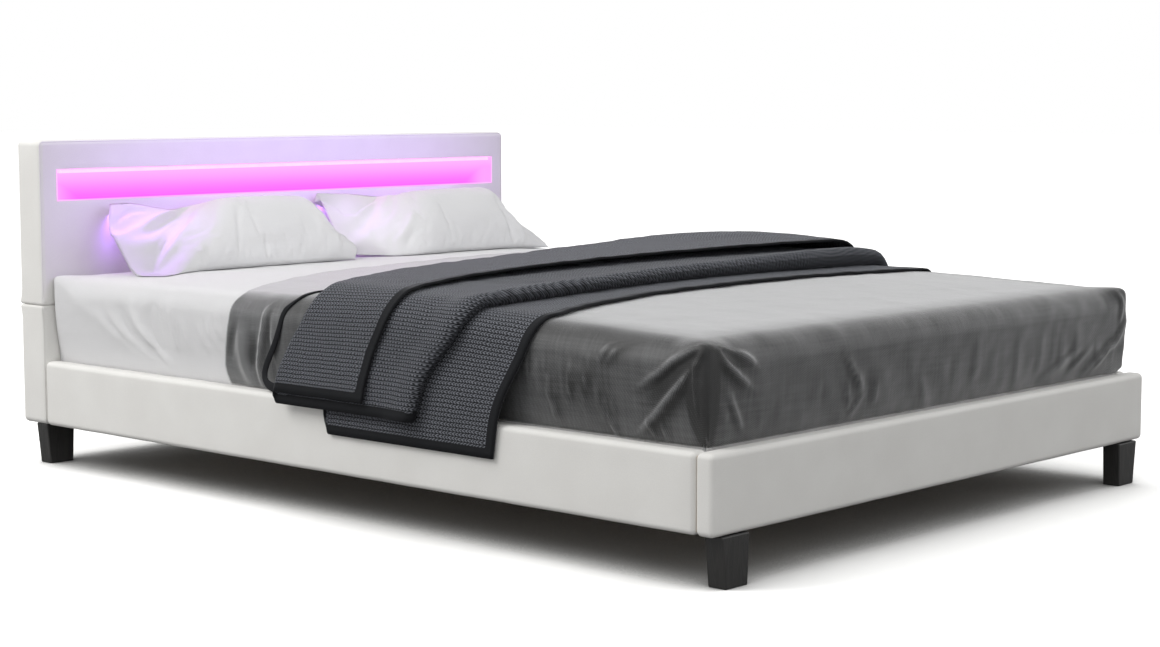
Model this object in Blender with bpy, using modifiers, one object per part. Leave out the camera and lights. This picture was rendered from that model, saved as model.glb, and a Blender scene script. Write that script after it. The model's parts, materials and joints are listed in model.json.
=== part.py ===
"""Leather-covered platform bed with a lit headboard niche, and its bedding.

Metres, +Z up. X runs across the bed, +Y towards the headboard, the floor is z = 0,
and the origin is the middle of the footprint.
"""

import math

import bmesh
import bpy
from mathutils import Matrix, Vector

# Fits
FIT = 0.0003
CUT_OVERRUN = 0.02

# Frame, which takes its width and length from the mattress
MATTRESS_SIDE_GAP = 0.01
MATTRESS_FOOT_GAP = 0.01
LEG_HEIGHT = 0.0986
RAIL_THICKNESS = 0.044
RAIL_HEIGHT = 0.1556
RAIL_PADDING = 0.008
RAIL_EDGE_RADIUS = 0.012
HEADBOARD_THICKNESS = 0.098
HEADBOARD_TOP = 0.788
HEADBOARD_SEAM = 0.3895
HEADBOARD_PADDING = 0.015
HEADBOARD_EDGE_RADIUS = 0.014
SEAM_RADIUS_SHARE = 0.35
NEAR_SIDE_SHARE = 0.49
BACK_PANEL_THICKNESS = 0.003
BACK_PANEL_RECESS = 0.004

# Tongues that join the two headboard sections
TONGUE_SPACING = 0.9
TONGUE_WIDTH = 0.08
TONGUE_THICKNESS = 0.004
TONGUE_LENGTH = 0.1

# Niche and its lighting
NICHE_SIDE_MARGIN = 0.048
NICHE_TOP_MARGIN = 0.0701
NICHE_HEIGHT = 0.0778
NICHE_DEPTH = 0.03
TRAY_WALL = 0.002
DIFFUSER_END_GAP = 0.012
DIFFUSER_SETBACK = 0.004
DIFFUSER_DEPTH = 0.012
DIFFUSER_HEIGHT = 0.008
STRIP_WIDTH = 0.008
STRIP_THICKNESS = 0.0016
CONTROLLER_WIDTH = 0.08
CONTROLLER_HEIGHT = 0.05
CONTROLLER_DEPTH = 0.024
CONTROLLER_EDGE_GAP = 0.016
CONTROLLER_EDGE_RADIUS = 0.003
WIRE_RADIUS = 0.0015
WIRE_END_INSET = 0.01
WIRE_SAG = 0.0015
WIRE_ROUTE_SHARES = ((0.0, 0.0), (0.2, 0.0), (0.35, 1.0), (0.55, 0.0), (1.0, 0.0))
WIRE_HOLE_RADIUS = 0.004
INLET_RADIUS = 0.0027
INLET_DEPTH = 0.009
INLET_PIN_RADIUS = 0.001
INLET_WINDOW_RADIUS = 0.01

# Corner legs
LEG_TOP_WIDTH = 0.08
LEG_BOTTOM_WIDTH = 0.065
LEG_DEPTH = 0.043
LEG_DEPTH_TAPER = 0.001
LEG_OUTER_TAPER = 0.01
LEG_EDGE_RADIUS = 0.0025
FOOT_LEG_INSET = 0.029
HEAD_LEG_INSET = 0.013
HEAD_LEG_SETBACK = 0.015
STUD_RADIUS = 0.005
STUD_LENGTH = 0.04

# Corner brackets and their bolts
BRACKET_ARM = 0.05
BRACKET_THICKNESS = 0.003
BRACKET_HEIGHT = 0.088
BRACKET_LIFT = 0.018
BOLT_FROM_CORNER = 0.03
BOLT_LOW_LIFT = 0.032
BOLT_HIGH_LIFT = 0.064
BOLT_RADIUS = 0.004
BOLT_HEAD_RADIUS = 0.008
BOLT_HEAD_HEIGHT = 0.005
BOLT_SOCKET_RADIUS = 0.0028
BOLT_SOCKET_DEPTH = 0.003
RAIL_BOLT_LENGTH = 0.028
HEADBOARD_BOLT_LENGTH = 0.045

# Slat deck
SLAT_COUNT = 10
SLAT_WIDTH = 0.1
SLAT_THICKNESS = 0.018
SLAT_END_GAP = 0.004
SLAT_EDGE_RADIUS = 0.004
LEDGE_SIZE = 0.03
LEDGE_END_GAP = 0.056
LEDGE_LIFT = 0.0661
BEAM_WIDTH = 0.045
BEAM_HEIGHT = 0.06
HANGER_WALL = 0.003
HANGER_DEPTH = 0.05
HANGER_LIP = 0.01
CENTRE_LEG_SPACING = 0.72
CENTRE_LEG_RADIUS = 0.019
CENTRE_LEG_GROUND_GAP = 0.03
FLANGE_RADIUS = 0.022
FLANGE_THICKNESS = 0.004
GLIDE_RADIUS = 0.02
GLIDE_THICKNESS = 0.008
GLIDE_STEM_RADIUS = 0.006
GLIDE_STEM_LENGTH = 0.057
GLIDE_BORE_DEPTH = 0.06

# Mattress
MATTRESS_HALF_WIDTH = 0.743
MATTRESS_LENGTH = 2.016
MATTRESS_HEAD_GAP = 0.004
MATTRESS_BULGE = 0.029
MATTRESS_FOOT_BULGE = 0.015
MATTRESS_SIDE_HEIGHT = 0.195
MATTRESS_SHOULDER_REACH = 0.055
MATTRESS_SHOULDER_RISE = 0.053
MATTRESS_CROWN = 0.012
MATTRESS_CORNER_RADIUS = 0.022
MATTRESS_BASE_RADIUS = 0.006
MATTRESS_SIDE_SHARES = (0.19, 0.225, 0.36, 0.6, 0.85)
MATTRESS_BULGE_SHARES = (0.2, 0.27, 0.48, 0.77, 0.95)
MATTRESS_CROWN_SHARES = (0.12, 0.35, 0.7)
SHOULDER_STEPS = 4
CORNER_STEPS = 4
LONG_SIDE_STEPS = 7
SHORT_SIDE_STEPS = 4

# Satin cover tucked over the foot end of the mattress
COVER_THICKNESS = 0.003
COVER_REST = 0.0006
COVER_HEM_HEIGHT = 0.2565
COVER_HEAD_EDGE = 0.33

# Knitted throw, folded in three along its length and laid across the bed
THROW_REST = 0.0045
THROW_RAIL_GAP = 0.002
THROW_HEMS = (0.184, 0.244, 0.276)
THROW_LAYER_LIFTS = (0.0, 0.0115, 0.0265)
THROW_LAYER_THICKNESSES = (0.0125, 0.016, 0.014)
THROW_ROLL_WIDTH = 0.03
THROW_ROLL_RISES = (0.0, 0.008, 0.0)
THROW_EDGE_SHARE = 0.45
THROW_SWELL = 0.022
THROW_SWELL_SHARES = (
    (-0.8, 0.0), (-0.62, 0.1), (-0.3, 0.15), (0.1, 0.35), (0.4, 0.9), (0.6, 1.0), (0.7, 0.6), (0.8, 0.0),
)
THROW_FOOT_END = -0.63
THROW_SPAN = 0.85
THROW_HEAD_STAGGER = 0.006
THROW_LEAN_SHARES = ((0.0, 0.0), (0.25, 0.12), (0.6, 0.5), (1.0, 1.0))
THROW_TOP_SHARES = (0.16, 0.4, 0.7, 1.0)
THROW_HEAD_SHARES = (
    (-1.0, 0.69), (-0.925, 0.69), (-0.91, 0.84), (-0.84, 0.82), (-0.76, 0.77), (-0.6, 0.8),
    (-0.4, 0.92), (0.0, 1.03), (0.5, 1.06), (0.76, 1.04), (1.0, 0.98),
)
THROW_FOOT_SHARES = (
    ((-1.0, 0.11), (-0.9, 0.09), (-0.78, 0.02), (-0.7, 0.0), (-0.55, 0.06), (-0.3, 0.11),
     (0.0, 0.13), (0.4, 0.13), (0.7, 0.12), (1.0, 0.15)),
    ((-1.0, 0.38), (-0.85, 0.32), (-0.75, 0.22), (-0.68, 0.21), (-0.4, 0.23), (0.0, 0.26),
     (0.4, 0.25), (0.7, 0.26), (1.0, 0.31)),
    ((-1.0, 0.52), (-0.85, 0.47), (-0.76, 0.42), (-0.66, 0.5), (-0.5, 0.57), (-0.3, 0.6),
     (0.0, 0.57), (0.4, 0.48), (0.7, 0.42), (1.0, 0.46)),
)

# Pillows leaning back against the headboard
PILLOW_WIDTH = 0.72
PILLOW_SIDE_MARGIN = 0.088
PILLOW_GAP = 0.008
PILLOW_RESTS = {"left": -0.0053, "right": -0.0026}
PILLOW_FRONT_REACH = 0.2088
PILLOW_BACK_GAP = 0.0338
PILLOW_RISE = 0.152
PILLOW_FRONT_FULLNESS = 0.076
PILLOW_BACK_FULLNESS = 0.1
PILLOW_SEAM_SHARE = 0.05
PILLOW_STATION_SHARES = (-1.0, -0.97, -0.86, -0.62, -0.3, 0.05, 0.4, 0.68, 0.87, 0.97, 1.0)
PILLOW_FRONT_SHARES = ((0.0, 0.0), (0.12, 0.4), (0.28, 0.72), (0.5, 0.94), (0.72, 0.95), (0.9, 0.6), (1.0, 0.0))
PILLOW_BACK_SHARES = ((0.92, 0.82), (0.74, 1.18), (0.52, 0.95), (0.28, 0.49), (0.12, 0.18))
PILLOW_SLUMP_START_SHARE = 0.35
PILLOW_SLUMP_SHARES = {"left": 0.72, "right": 0.6}

# Places worked out from the sizes above
INNER_HALF = MATTRESS_HALF_WIDTH + MATTRESS_SIDE_GAP
HALF_WIDTH = INNER_HALF + RAIL_THICKNESS
INNER_LENGTH = MATTRESS_FOOT_GAP + MATTRESS_LENGTH + MATTRESS_HEAD_GAP
TOTAL_LENGTH = RAIL_THICKNESS + INNER_LENGTH + HEADBOARD_THICKNESS
FOOT_OUTER = -TOTAL_LENGTH / 2
FOOT_INNER = FOOT_OUTER + RAIL_THICKNESS
HEAD_FACE = FOOT_INNER + INNER_LENGTH
HEAD_BACK = TOTAL_LENGTH / 2
RAIL_BOTTOM = LEG_HEIGHT + FIT
RAIL_TOP = RAIL_BOTTOM + RAIL_HEIGHT
PANEL_FACE = HEAD_BACK - BACK_PANEL_RECESS - BACK_PANEL_THICKNESS
CORE_FACE = HEAD_FACE + HEADBOARD_PADDING + FIT
CORE_BACK = PANEL_FACE - FIT
NICHE_TOP = HEADBOARD_TOP - NICHE_TOP_MARGIN
NICHE_BOTTOM = NICHE_TOP - NICHE_HEIGHT
NICHE_HALF = HALF_WIDTH - NICHE_SIDE_MARGIN
TRAY_BACK = HEAD_FACE + NICHE_DEPTH + TRAY_WALL
DIFFUSER_TOP = NICHE_TOP - TRAY_WALL - 2 * FIT
DIFFUSER_BACK = HEAD_FACE + DIFFUSER_SETBACK + DIFFUSER_DEPTH
DECK_TOP = RAIL_BOTTOM + LEDGE_LIFT + LEDGE_SIZE
BEAM_BOTTOM = DECK_TOP - BEAM_HEIGHT
SLAT_BOTTOM = DECK_TOP + FIT
MATTRESS_BOTTOM = SLAT_BOTTOM + SLAT_THICKNESS + FIT
MATTRESS_HEAD = HEAD_FACE - MATTRESS_HEAD_GAP
MATTRESS_FOOT = MATTRESS_HEAD - MATTRESS_LENGTH
MATTRESS_TOP = MATTRESS_BOTTOM + MATTRESS_SIDE_HEIGHT + MATTRESS_SHOULDER_RISE + MATTRESS_CROWN

# Finishes: colour, roughness, metallic
FINISHES = {
    "leather": ((0.80, 0.79, 0.76), 0.45, 0.0),
    "board": ((0.62, 0.47, 0.31), 0.75, 0.0),
    "backing": ((0.05, 0.05, 0.055), 0.9, 0.0),
    "steel": ((0.55, 0.56, 0.58), 0.35, 1.0),
    "black_block": ((0.025, 0.025, 0.027), 0.4, 0.0),
    "pine": ((0.78, 0.62, 0.42), 0.65, 0.0),
    "white_plastic": ((0.9, 0.9, 0.9), 0.4, 0.0),
    "diffuser": ((0.98, 0.55, 0.95), 0.5, 0.0),
    "led": ((0.95, 0.25, 0.92), 0.5, 0.0),
    "dark_plastic": ((0.04, 0.04, 0.045), 0.5, 0.0),
    "white_cotton": ((0.86, 0.86, 0.88), 0.9, 0.0),
    "satin": ((0.42, 0.43, 0.44), 0.5, 0.0),
    "knit": ((0.06, 0.065, 0.08), 0.95, 0.0),
}


def new_collection(name):
    made = bpy.data.collections.new(name)
    bpy.context.scene.collection.children.link(made)
    return made


def principled(name, kind):
    colour, roughness, metallic = FINISHES[kind]
    made = bpy.data.materials.new(name)
    made.use_nodes = True
    shader = made.node_tree.nodes["Principled BSDF"]
    shader.inputs["Base Color"].default_value = (*colour, 1.0)
    shader.inputs["Roughness"].default_value = roughness
    shader.inputs["Metallic"].default_value = metallic
    return made


def add_part(name, mesh, kind, location=(0, 0, 0), rotation=(0, 0, 0)):
    """One visible sub-part with its own finish."""
    part = bpy.data.objects.new(name, mesh)
    part.location = location
    part.rotation_euler = rotation
    part.data.materials.append(principled(name, kind))
    PARTS.objects.link(part)
    return part


def add_cutter(name, mesh, location=(0, 0, 0), rotation=(0, 0, 0)):
    cutter = bpy.data.objects.new(name, mesh)
    cutter.location = location
    cutter.rotation_euler = rotation
    cutter.hide_render = True
    cutter.display_type = "WIRE"
    CUTTERS.objects.link(cutter)
    return cutter


def combine(part, other, operation):
    """Adds an exact Boolean of the given operation."""
    modifier = part.modifiers.new(operation.title(), "BOOLEAN")
    modifier.operation = operation
    modifier.object = other
    modifier.solver = "EXACT"


def cut(part, *cutters):
    for cutter in cutters:
        combine(part, cutter, "DIFFERENCE")


def mesh_from(build, name):
    """The mesh that build fills in, from a fresh bmesh."""
    shape = bmesh.new()
    build(shape)
    mesh = bpy.data.meshes.new(name)
    shape.to_mesh(mesh)
    shape.free()
    return mesh


def box_mesh(name, size):
    def build(shape):
        bmesh.ops.create_cube(shape, size=1.0)
        bmesh.ops.scale(shape, vec=size, verts=shape.verts)

    return mesh_from(build, name)


def rod_mesh(name, radius, length, sides=16):
    """A cylinder along Z from the origin up."""
    def build(shape):
        bmesh.ops.create_cone(
            shape, cap_ends=True, segments=sides, radius1=radius, radius2=radius, depth=length
        )
        bmesh.ops.translate(shape, vec=(0, 0, length / 2), verts=shape.verts)

    mesh = mesh_from(build, name)
    mesh.shade_smooth()
    mesh.set_sharp_from_angle(angle=math.radians(40))
    return mesh


def middle(low, high):
    return (Vector(low) + Vector(high)) / 2


def box_part(name, low, high, kind, edge_radius=0):
    part = add_part(name, box_mesh(name, Vector(high) - Vector(low)), kind, middle(low, high))
    if edge_radius:
        bevel = part.modifiers.new("Edges", "BEVEL")
        bevel.width = edge_radius
        bevel.segments = 2
    return part


def box_cutter(name, low, high):
    return add_cutter(name, box_mesh(name, Vector(high) - Vector(low)), middle(low, high))


def padded_shell(name, low, high, wall, radius, open_side, seam_side=None):
    """Leather over foam: a box with soft edges, open on one side for its board.

    A side is an axis number and a sign. Edges on the open side stay square, and those
    on the seam side are rounded less.
    """
    size = Vector(high) - Vector(low)

    def on_side(edge, side):
        point = (edge.verts[0].co + edge.verts[1].co) / 2
        return point[side[0]] * side[1] > size[side[0]] * NEAR_SIDE_SHARE

    def build(shape):
        bmesh.ops.create_cube(shape, size=1.0)
        bmesh.ops.scale(shape, vec=size, verts=shape.verts)
        weights = shape.edges.layers.float.new("bevel_weight_edge")
        for edge in shape.edges:
            edge[weights] = 1.0
            if seam_side and on_side(edge, seam_side):
                edge[weights] = SEAM_RADIUS_SHARE
            if on_side(edge, open_side):
                edge[weights] = 0.0

    part = add_part(name, mesh_from(build, name), "leather", middle(low, high))
    bevel = part.modifiers.new("Soft edges", "BEVEL")
    bevel.limit_method = "WEIGHT"
    bevel.width = radius
    bevel.segments = 3
    axis, sign = open_side
    hollow_low = [value + wall for value in low]
    hollow_high = [value - wall for value in high]
    if sign > 0:
        hollow_high[axis] = high[axis] + CUT_OVERRUN
    else:
        hollow_low[axis] = low[axis] - CUT_OVERRUN
    cut(part, box_cutter(f"{name}_hollow", hollow_low, hollow_high))
    part.data.shade_smooth()
    part.data.set_sharp_from_angle(angle=math.radians(40))
    return part


def build_headboard():
    """Two padded boxes, one on the other, each round its own board, with a thin back panel."""
    covers, cores, panels = [], [], []
    sections = (
        ("upper", HEADBOARD_SEAM + FIT / 2, HEADBOARD_TOP, -1),
        ("lower", RAIL_BOTTOM, HEADBOARD_SEAM - FIT / 2, 1),
    )
    for section, bottom, top, seam_sign in sections:
        covers.append(padded_shell(
            f"headboard_{section}_cover",
            (-HALF_WIDTH, HEAD_FACE, bottom), (HALF_WIDTH, HEAD_BACK, top),
            HEADBOARD_PADDING, HEADBOARD_EDGE_RADIUS, (1, 1), (2, seam_sign),
        ))
        inset = HEADBOARD_PADDING + FIT
        cores.append(box_part(
            f"headboard_{section}_core",
            (-HALF_WIDTH + inset, CORE_FACE, bottom + inset),
            (HALF_WIDTH - inset, CORE_BACK, top - inset),
            "board",
        ))
        panels.append(box_part(
            f"headboard_{section}_back",
            (-HALF_WIDTH + inset, PANEL_FACE, bottom + inset),
            (HALF_WIDTH - inset, HEAD_BACK - BACK_PANEL_RECESS, top - inset),
            "backing",
        ))
    for side, sign in (("left", -1), ("right", 1)):
        centre = sign * TONGUE_SPACING / 2
        depth = (CORE_FACE + CORE_BACK) / 2
        low = Vector((
            centre - TONGUE_WIDTH / 2, depth - TONGUE_THICKNESS / 2, HEADBOARD_SEAM - TONGUE_LENGTH / 2
        ))
        high = Vector((
            centre + TONGUE_WIDTH / 2, depth + TONGUE_THICKNESS / 2, HEADBOARD_SEAM + TONGUE_LENGTH / 2
        ))
        room = Vector((FIT, FIT, FIT))
        box_part(f"headboard_tongue_{side}", low, high, "steel")
        slot = box_cutter(f"tongue_slot_{side}", low - room, high + room)
        for piece in covers + cores:
            cut(piece, slot)
    return covers, cores, panels


def build_niche(upper_cover, upper_core, upper_back):
    """The lit niche: a tray let into the upper section, with its light strip and controller."""
    half = NICHE_HALF
    recess = box_cutter(
        "niche_recess",
        (-half, HEAD_FACE - CUT_OVERRUN, NICHE_BOTTOM), (half, TRAY_BACK + FIT, NICHE_TOP),
    )
    cut(upper_cover, recess)
    cut(upper_core, recess)
    tray = box_part(
        "niche_tray",
        (-half + FIT, HEAD_FACE + FIT, NICHE_BOTTOM + FIT), (half - FIT, TRAY_BACK, NICHE_TOP - FIT),
        "white_plastic",
    )
    inset = FIT + TRAY_WALL
    cut(tray, box_cutter(
        "tray_hollow",
        (-half + inset, HEAD_FACE - CUT_OVERRUN, NICHE_BOTTOM + inset),
        (half - inset, TRAY_BACK - TRAY_WALL, NICHE_TOP - inset),
    ))

    bar = half - DIFFUSER_END_GAP
    diffuser = box_part(
        "led_diffuser",
        (-bar, DIFFUSER_BACK - DIFFUSER_DEPTH, DIFFUSER_TOP - DIFFUSER_HEIGHT),
        (bar, DIFFUSER_BACK, DIFFUSER_TOP),
        "diffuser",
    )
    strip_middle = DIFFUSER_BACK - DIFFUSER_DEPTH / 2
    strip_low = Vector((-bar + TRAY_WALL, strip_middle - STRIP_WIDTH / 2, DIFFUSER_TOP - STRIP_THICKNESS))
    strip_high = Vector((bar - TRAY_WALL, strip_middle + STRIP_WIDTH / 2, DIFFUSER_TOP))
    box_part("led_strip", strip_low, strip_high, "led")
    room = Vector((FIT, FIT, FIT))
    cut(diffuser, box_cutter("strip_groove", strip_low - room, strip_high + Vector((FIT, FIT, CUT_OVERRUN))))

    build_controller(upper_core, upper_back, tray)


def build_controller(upper_core, upper_back, tray):
    """The controller in a pocket at the back, its inlet, and the wire to the strip."""
    left = -HALF_WIDTH + HEADBOARD_PADDING + CONTROLLER_EDGE_GAP
    wire_level = DIFFUSER_TOP - 2 * WIRE_RADIUS
    top = wire_level + CONTROLLER_EDGE_GAP / 2
    low = Vector((left, CORE_BACK - CONTROLLER_DEPTH, top - CONTROLLER_HEIGHT))
    high = Vector((left + CONTROLLER_WIDTH, CORE_BACK, top))
    controller = box_part("led_controller", low, high, "dark_plastic", CONTROLLER_EDGE_RADIUS)
    room = Vector((FIT, FIT, FIT))
    cut(upper_core, box_cutter("controller_pocket", low - room, high + Vector((FIT, CUT_OVERRUN, FIT))))

    inlet = Vector(((low.x + high.x) / 2, CORE_BACK, (low.z + high.z) / 2))
    turned = (math.radians(90), 0, 0)
    cut(controller, add_cutter(
        "inlet_hole", rod_mesh("inlet_hole", INLET_RADIUS, INLET_DEPTH + CUT_OVERRUN),
        inlet + Vector((0, CUT_OVERRUN, 0)), turned,
    ))
    pin_length = INLET_DEPTH + CONTROLLER_EDGE_RADIUS
    combine(controller, add_cutter(
        "inlet_pin", rod_mesh("inlet_pin", INLET_PIN_RADIUS, pin_length, 8),
        inlet - Vector((0, INLET_PIN_RADIUS, 0)), turned,
    ), "UNION")
    cut(upper_back, add_cutter(
        "inlet_window", rod_mesh("inlet_window", INLET_WINDOW_RADIUS, 2 * CUT_OVERRUN, 24),
        inlet + Vector((0, CUT_OVERRUN, 0)), turned,
    ))

    wire_x = -NICHE_HALF + DIFFUSER_END_GAP + WIRE_END_INSET
    start = Vector((wire_x, low.y - FIT, wire_level))
    end = Vector((wire_x, DIFFUSER_BACK + FIT, wire_level))
    hole = add_cutter(
        "wire_hole", rod_mesh("wire_hole", WIRE_HOLE_RADIUS, CORE_BACK - TRAY_BACK),
        Vector((wire_x, CORE_BACK - CONTROLLER_DEPTH / 2, wire_level)), turned,
    )
    cut(upper_core, hole)
    tray_hole = add_cutter(
        "tray_wire_hole", rod_mesh("tray_wire_hole", WIRE_RADIUS + 2 * FIT, 2 * CUT_OVERRUN),
        Vector((wire_x, TRAY_BACK + CUT_OVERRUN, wire_level)), turned,
    )
    cut(tray, tray_hole)
    sagging = Vector((0, 0, -WIRE_SAG))
    route = [start.lerp(end, along) + sagging * sag for along, sag in WIRE_ROUTE_SHARES]
    add_wire("led_wire", route, WIRE_RADIUS)


def add_wire(name, route, radius):
    curve = bpy.data.curves.new(name, "CURVE")
    curve.dimensions = "3D"
    curve.bevel_depth = radius
    curve.bevel_resolution = 2
    curve.use_fill_caps = True
    spline = curve.splines.new("POLY")
    spline.points.add(len(route) - 1)
    for point, place in zip(spline.points, route):
        point.co = (*place, 1.0)
    wire = bpy.data.objects.new(name, curve)
    curve.materials.append(principled(name, "dark_plastic"))
    PARTS.objects.link(wire)


def build_rails():
    """Side rails between headboard and foot rail, and the foot rail over their ends."""
    rails = {}
    spans = {
        "side_rail_left": ((-HALF_WIDTH, FOOT_INNER + FIT), (-INNER_HALF, HEAD_FACE - FIT), (0, 1)),
        "side_rail_right": ((INNER_HALF, FOOT_INNER + FIT), (HALF_WIDTH, HEAD_FACE - FIT), (0, -1)),
        "foot_rail": ((-HALF_WIDTH, FOOT_OUTER), (HALF_WIDTH, FOOT_INNER), (1, 1)),
    }
    inset = RAIL_PADDING + FIT
    for name, (near, far, open_side) in spans.items():
        low = (*near, RAIL_BOTTOM)
        high = (*far, RAIL_TOP)
        cover = padded_shell(f"{name}_cover", low, high, RAIL_PADDING, RAIL_EDGE_RADIUS, open_side)
        core_low = [value + inset for value in low]
        core_high = [value - inset for value in high]
        if open_side[1] > 0:
            core_high[open_side[0]] = high[open_side[0]]
        else:
            core_low[open_side[0]] = low[open_side[0]]
        rails[name] = (cover, box_part(f"{name}_core", core_low, core_high, "board"))
    return rails


def leg_mesh():
    """A block that tapers to the floor, more on its outer side, which is at +X."""
    def build(shape):
        bmesh.ops.create_cube(shape, size=1.0)
        bmesh.ops.scale(shape, vec=(LEG_TOP_WIDTH, LEG_DEPTH, LEG_HEIGHT), verts=shape.verts)
        bmesh.ops.translate(shape, vec=(0, 0, LEG_HEIGHT / 2), verts=shape.verts)
        inner_taper = LEG_TOP_WIDTH - LEG_BOTTOM_WIDTH - LEG_OUTER_TAPER
        for vert in shape.verts:
            if vert.co.z < LEG_HEIGHT / 2:
                vert.co.x += -LEG_OUTER_TAPER if vert.co.x > 0 else inner_taper
                vert.co.y += LEG_DEPTH_TAPER if vert.co.y < 0 else 0

    return mesh_from(build, "leg")


def build_legs(headboard_lower, rails):
    """Four block legs, each with a stud up into its board."""
    mirrored = (0, 0, math.radians(180))
    foot_depth = FOOT_OUTER + LEG_DEPTH / 2
    head_depth = HEAD_FACE + HEAD_LEG_SETBACK + LEG_DEPTH / 2
    corners = (
        ("foot", FOOT_LEG_INSET, foot_depth, rails["foot_rail"]),
        ("head", HEAD_LEG_INSET, head_depth, headboard_lower),
    )
    for end, inset, depth, carriers in corners:
        for side, sign in (("left", -1), ("right", 1)):
            place = Vector((sign * (HALF_WIDTH - inset - LEG_TOP_WIDTH / 2), depth, 0))
            name = f"leg_{end}_{side}"
            leg = add_part(name, leg_mesh(), "black_block", place, mirrored if sign < 0 else (0, 0, 0))
            bevel = leg.modifiers.new("Edges", "BEVEL")
            bevel.width = LEG_EDGE_RADIUS
            bevel.segments = 2
            stud_base = place + Vector((0, 0, LEG_HEIGHT - STUD_LENGTH / 2))
            stud_reach = STUD_LENGTH + STUD_LENGTH / 2
            combine(leg, add_cutter(
                f"{name}_stud", rod_mesh(f"{name}_stud", STUD_RADIUS, stud_reach, 12), stud_base
            ), "UNION")
            hole = add_cutter(
                f"{name}_stud_hole",
                rod_mesh(f"{name}_stud_hole", STUD_RADIUS + FIT, stud_reach + FIT, 12), stud_base,
            )
            for carrier in carriers:
                cut(carrier, hole)


def bolt_mesh(length):
    """A round-headed bolt along Z, its head above the origin and its shank below."""
    head = add_part("bolt_head", rod_mesh("bolt_head", BOLT_HEAD_RADIUS, BOLT_HEAD_HEIGHT, 12), "steel")
    shank = add_cutter(
        "bolt_shank", rod_mesh("bolt_shank", BOLT_RADIUS, length + BOLT_HEAD_HEIGHT / 2, 12), (0, 0, -length)
    )
    socket = add_cutter(
        "bolt_socket", rod_mesh("bolt_socket", BOLT_SOCKET_RADIUS, CUT_OVERRUN, 6),
        (0, 0, BOLT_HEAD_HEIGHT - BOLT_SOCKET_DEPTH),
    )
    combine(head, shank, "UNION")
    cut(head, socket)
    bpy.context.view_layer.update()
    evaluated = head.evaluated_get(bpy.context.evaluated_depsgraph_get())
    mesh = bpy.data.meshes.new_from_object(evaluated)
    mesh.materials.clear()
    for helper in (head, shank, socket):
        bpy.data.objects.remove(helper)
    return mesh


def build_brackets(headboard_lower, rails):
    """A steel angle inside each corner, with one bolt through each arm."""
    rail_bolt = bolt_mesh(RAIL_BOLT_LENGTH)
    headboard_bolt = bolt_mesh(HEADBOARD_BOLT_LENGTH)
    bottom = RAIL_BOTTOM + BRACKET_LIFT
    for end, end_face, inward, end_pieces, end_mesh, end_length in (
        ("foot", FOOT_INNER, 1, rails["foot_rail"], rail_bolt, RAIL_BOLT_LENGTH),
        ("head", HEAD_FACE, -1, headboard_lower, headboard_bolt, HEADBOARD_BOLT_LENGTH),
    ):
        for side, sign in (("left", -1), ("right", 1)):
            name = f"corner_bracket_{end}_{side}"
            corner = Vector((sign * (INNER_HALF - FIT), end_face + inward * FIT, bottom))
            reach = Vector((-sign * BRACKET_ARM, inward * BRACKET_ARM, BRACKET_HEIGHT))
            far = corner + reach
            low = Vector(map(min, corner, far))
            high = Vector(map(max, corner, far))
            bracket = box_part(name, low, high, "steel")
            shift = Vector((-sign * BRACKET_THICKNESS, inward * BRACKET_THICKNESS, 0))
            inner = corner + shift - Vector((0, 0, CUT_OVERRUN))
            outer = far + shift * (CUT_OVERRUN / BRACKET_THICKNESS) + Vector((0, 0, CUT_OVERRUN))
            cut(bracket, box_cutter(
                f"{name}_hollow", Vector(map(min, inner, outer)), Vector(map(max, inner, outer))
            ))
            side_place = corner + Vector((
                -sign * (BRACKET_THICKNESS + FIT), inward * BOLT_FROM_CORNER, BOLT_HIGH_LIFT
            ))
            end_place = corner + Vector((
                -sign * BOLT_FROM_CORNER, inward * (BRACKET_THICKNESS + FIT), BOLT_LOW_LIFT
            ))
            side_turn = (0, math.radians(-90 * sign), 0)
            end_turn = (math.radians(-90 * inward), 0, 0)
            side_rail = rails[f"side_rail_{side}"]
            add_bolt(f"bolt_{end}_{side}_side", rail_bolt, RAIL_BOLT_LENGTH, side_place, side_turn,
                     (bracket, *side_rail))
            add_bolt(f"bolt_{end}_{side}_end", end_mesh, end_length, end_place, end_turn,
                     (bracket, *end_pieces))


def add_bolt(name, mesh, length, place, turn, pieces):
    add_part(name, mesh.copy(), "steel", place, turn)
    hole = add_cutter(f"{name}_hole", rod_mesh(f"{name}_hole", BOLT_RADIUS + FIT, length + 2 * FIT, 12))
    hole.data.transform(Matrix.Translation((0, 0, -length - FIT)))
    hole.location = place
    hole.rotation_euler = turn
    for piece in pieces:
        cut(piece, hole)


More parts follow.
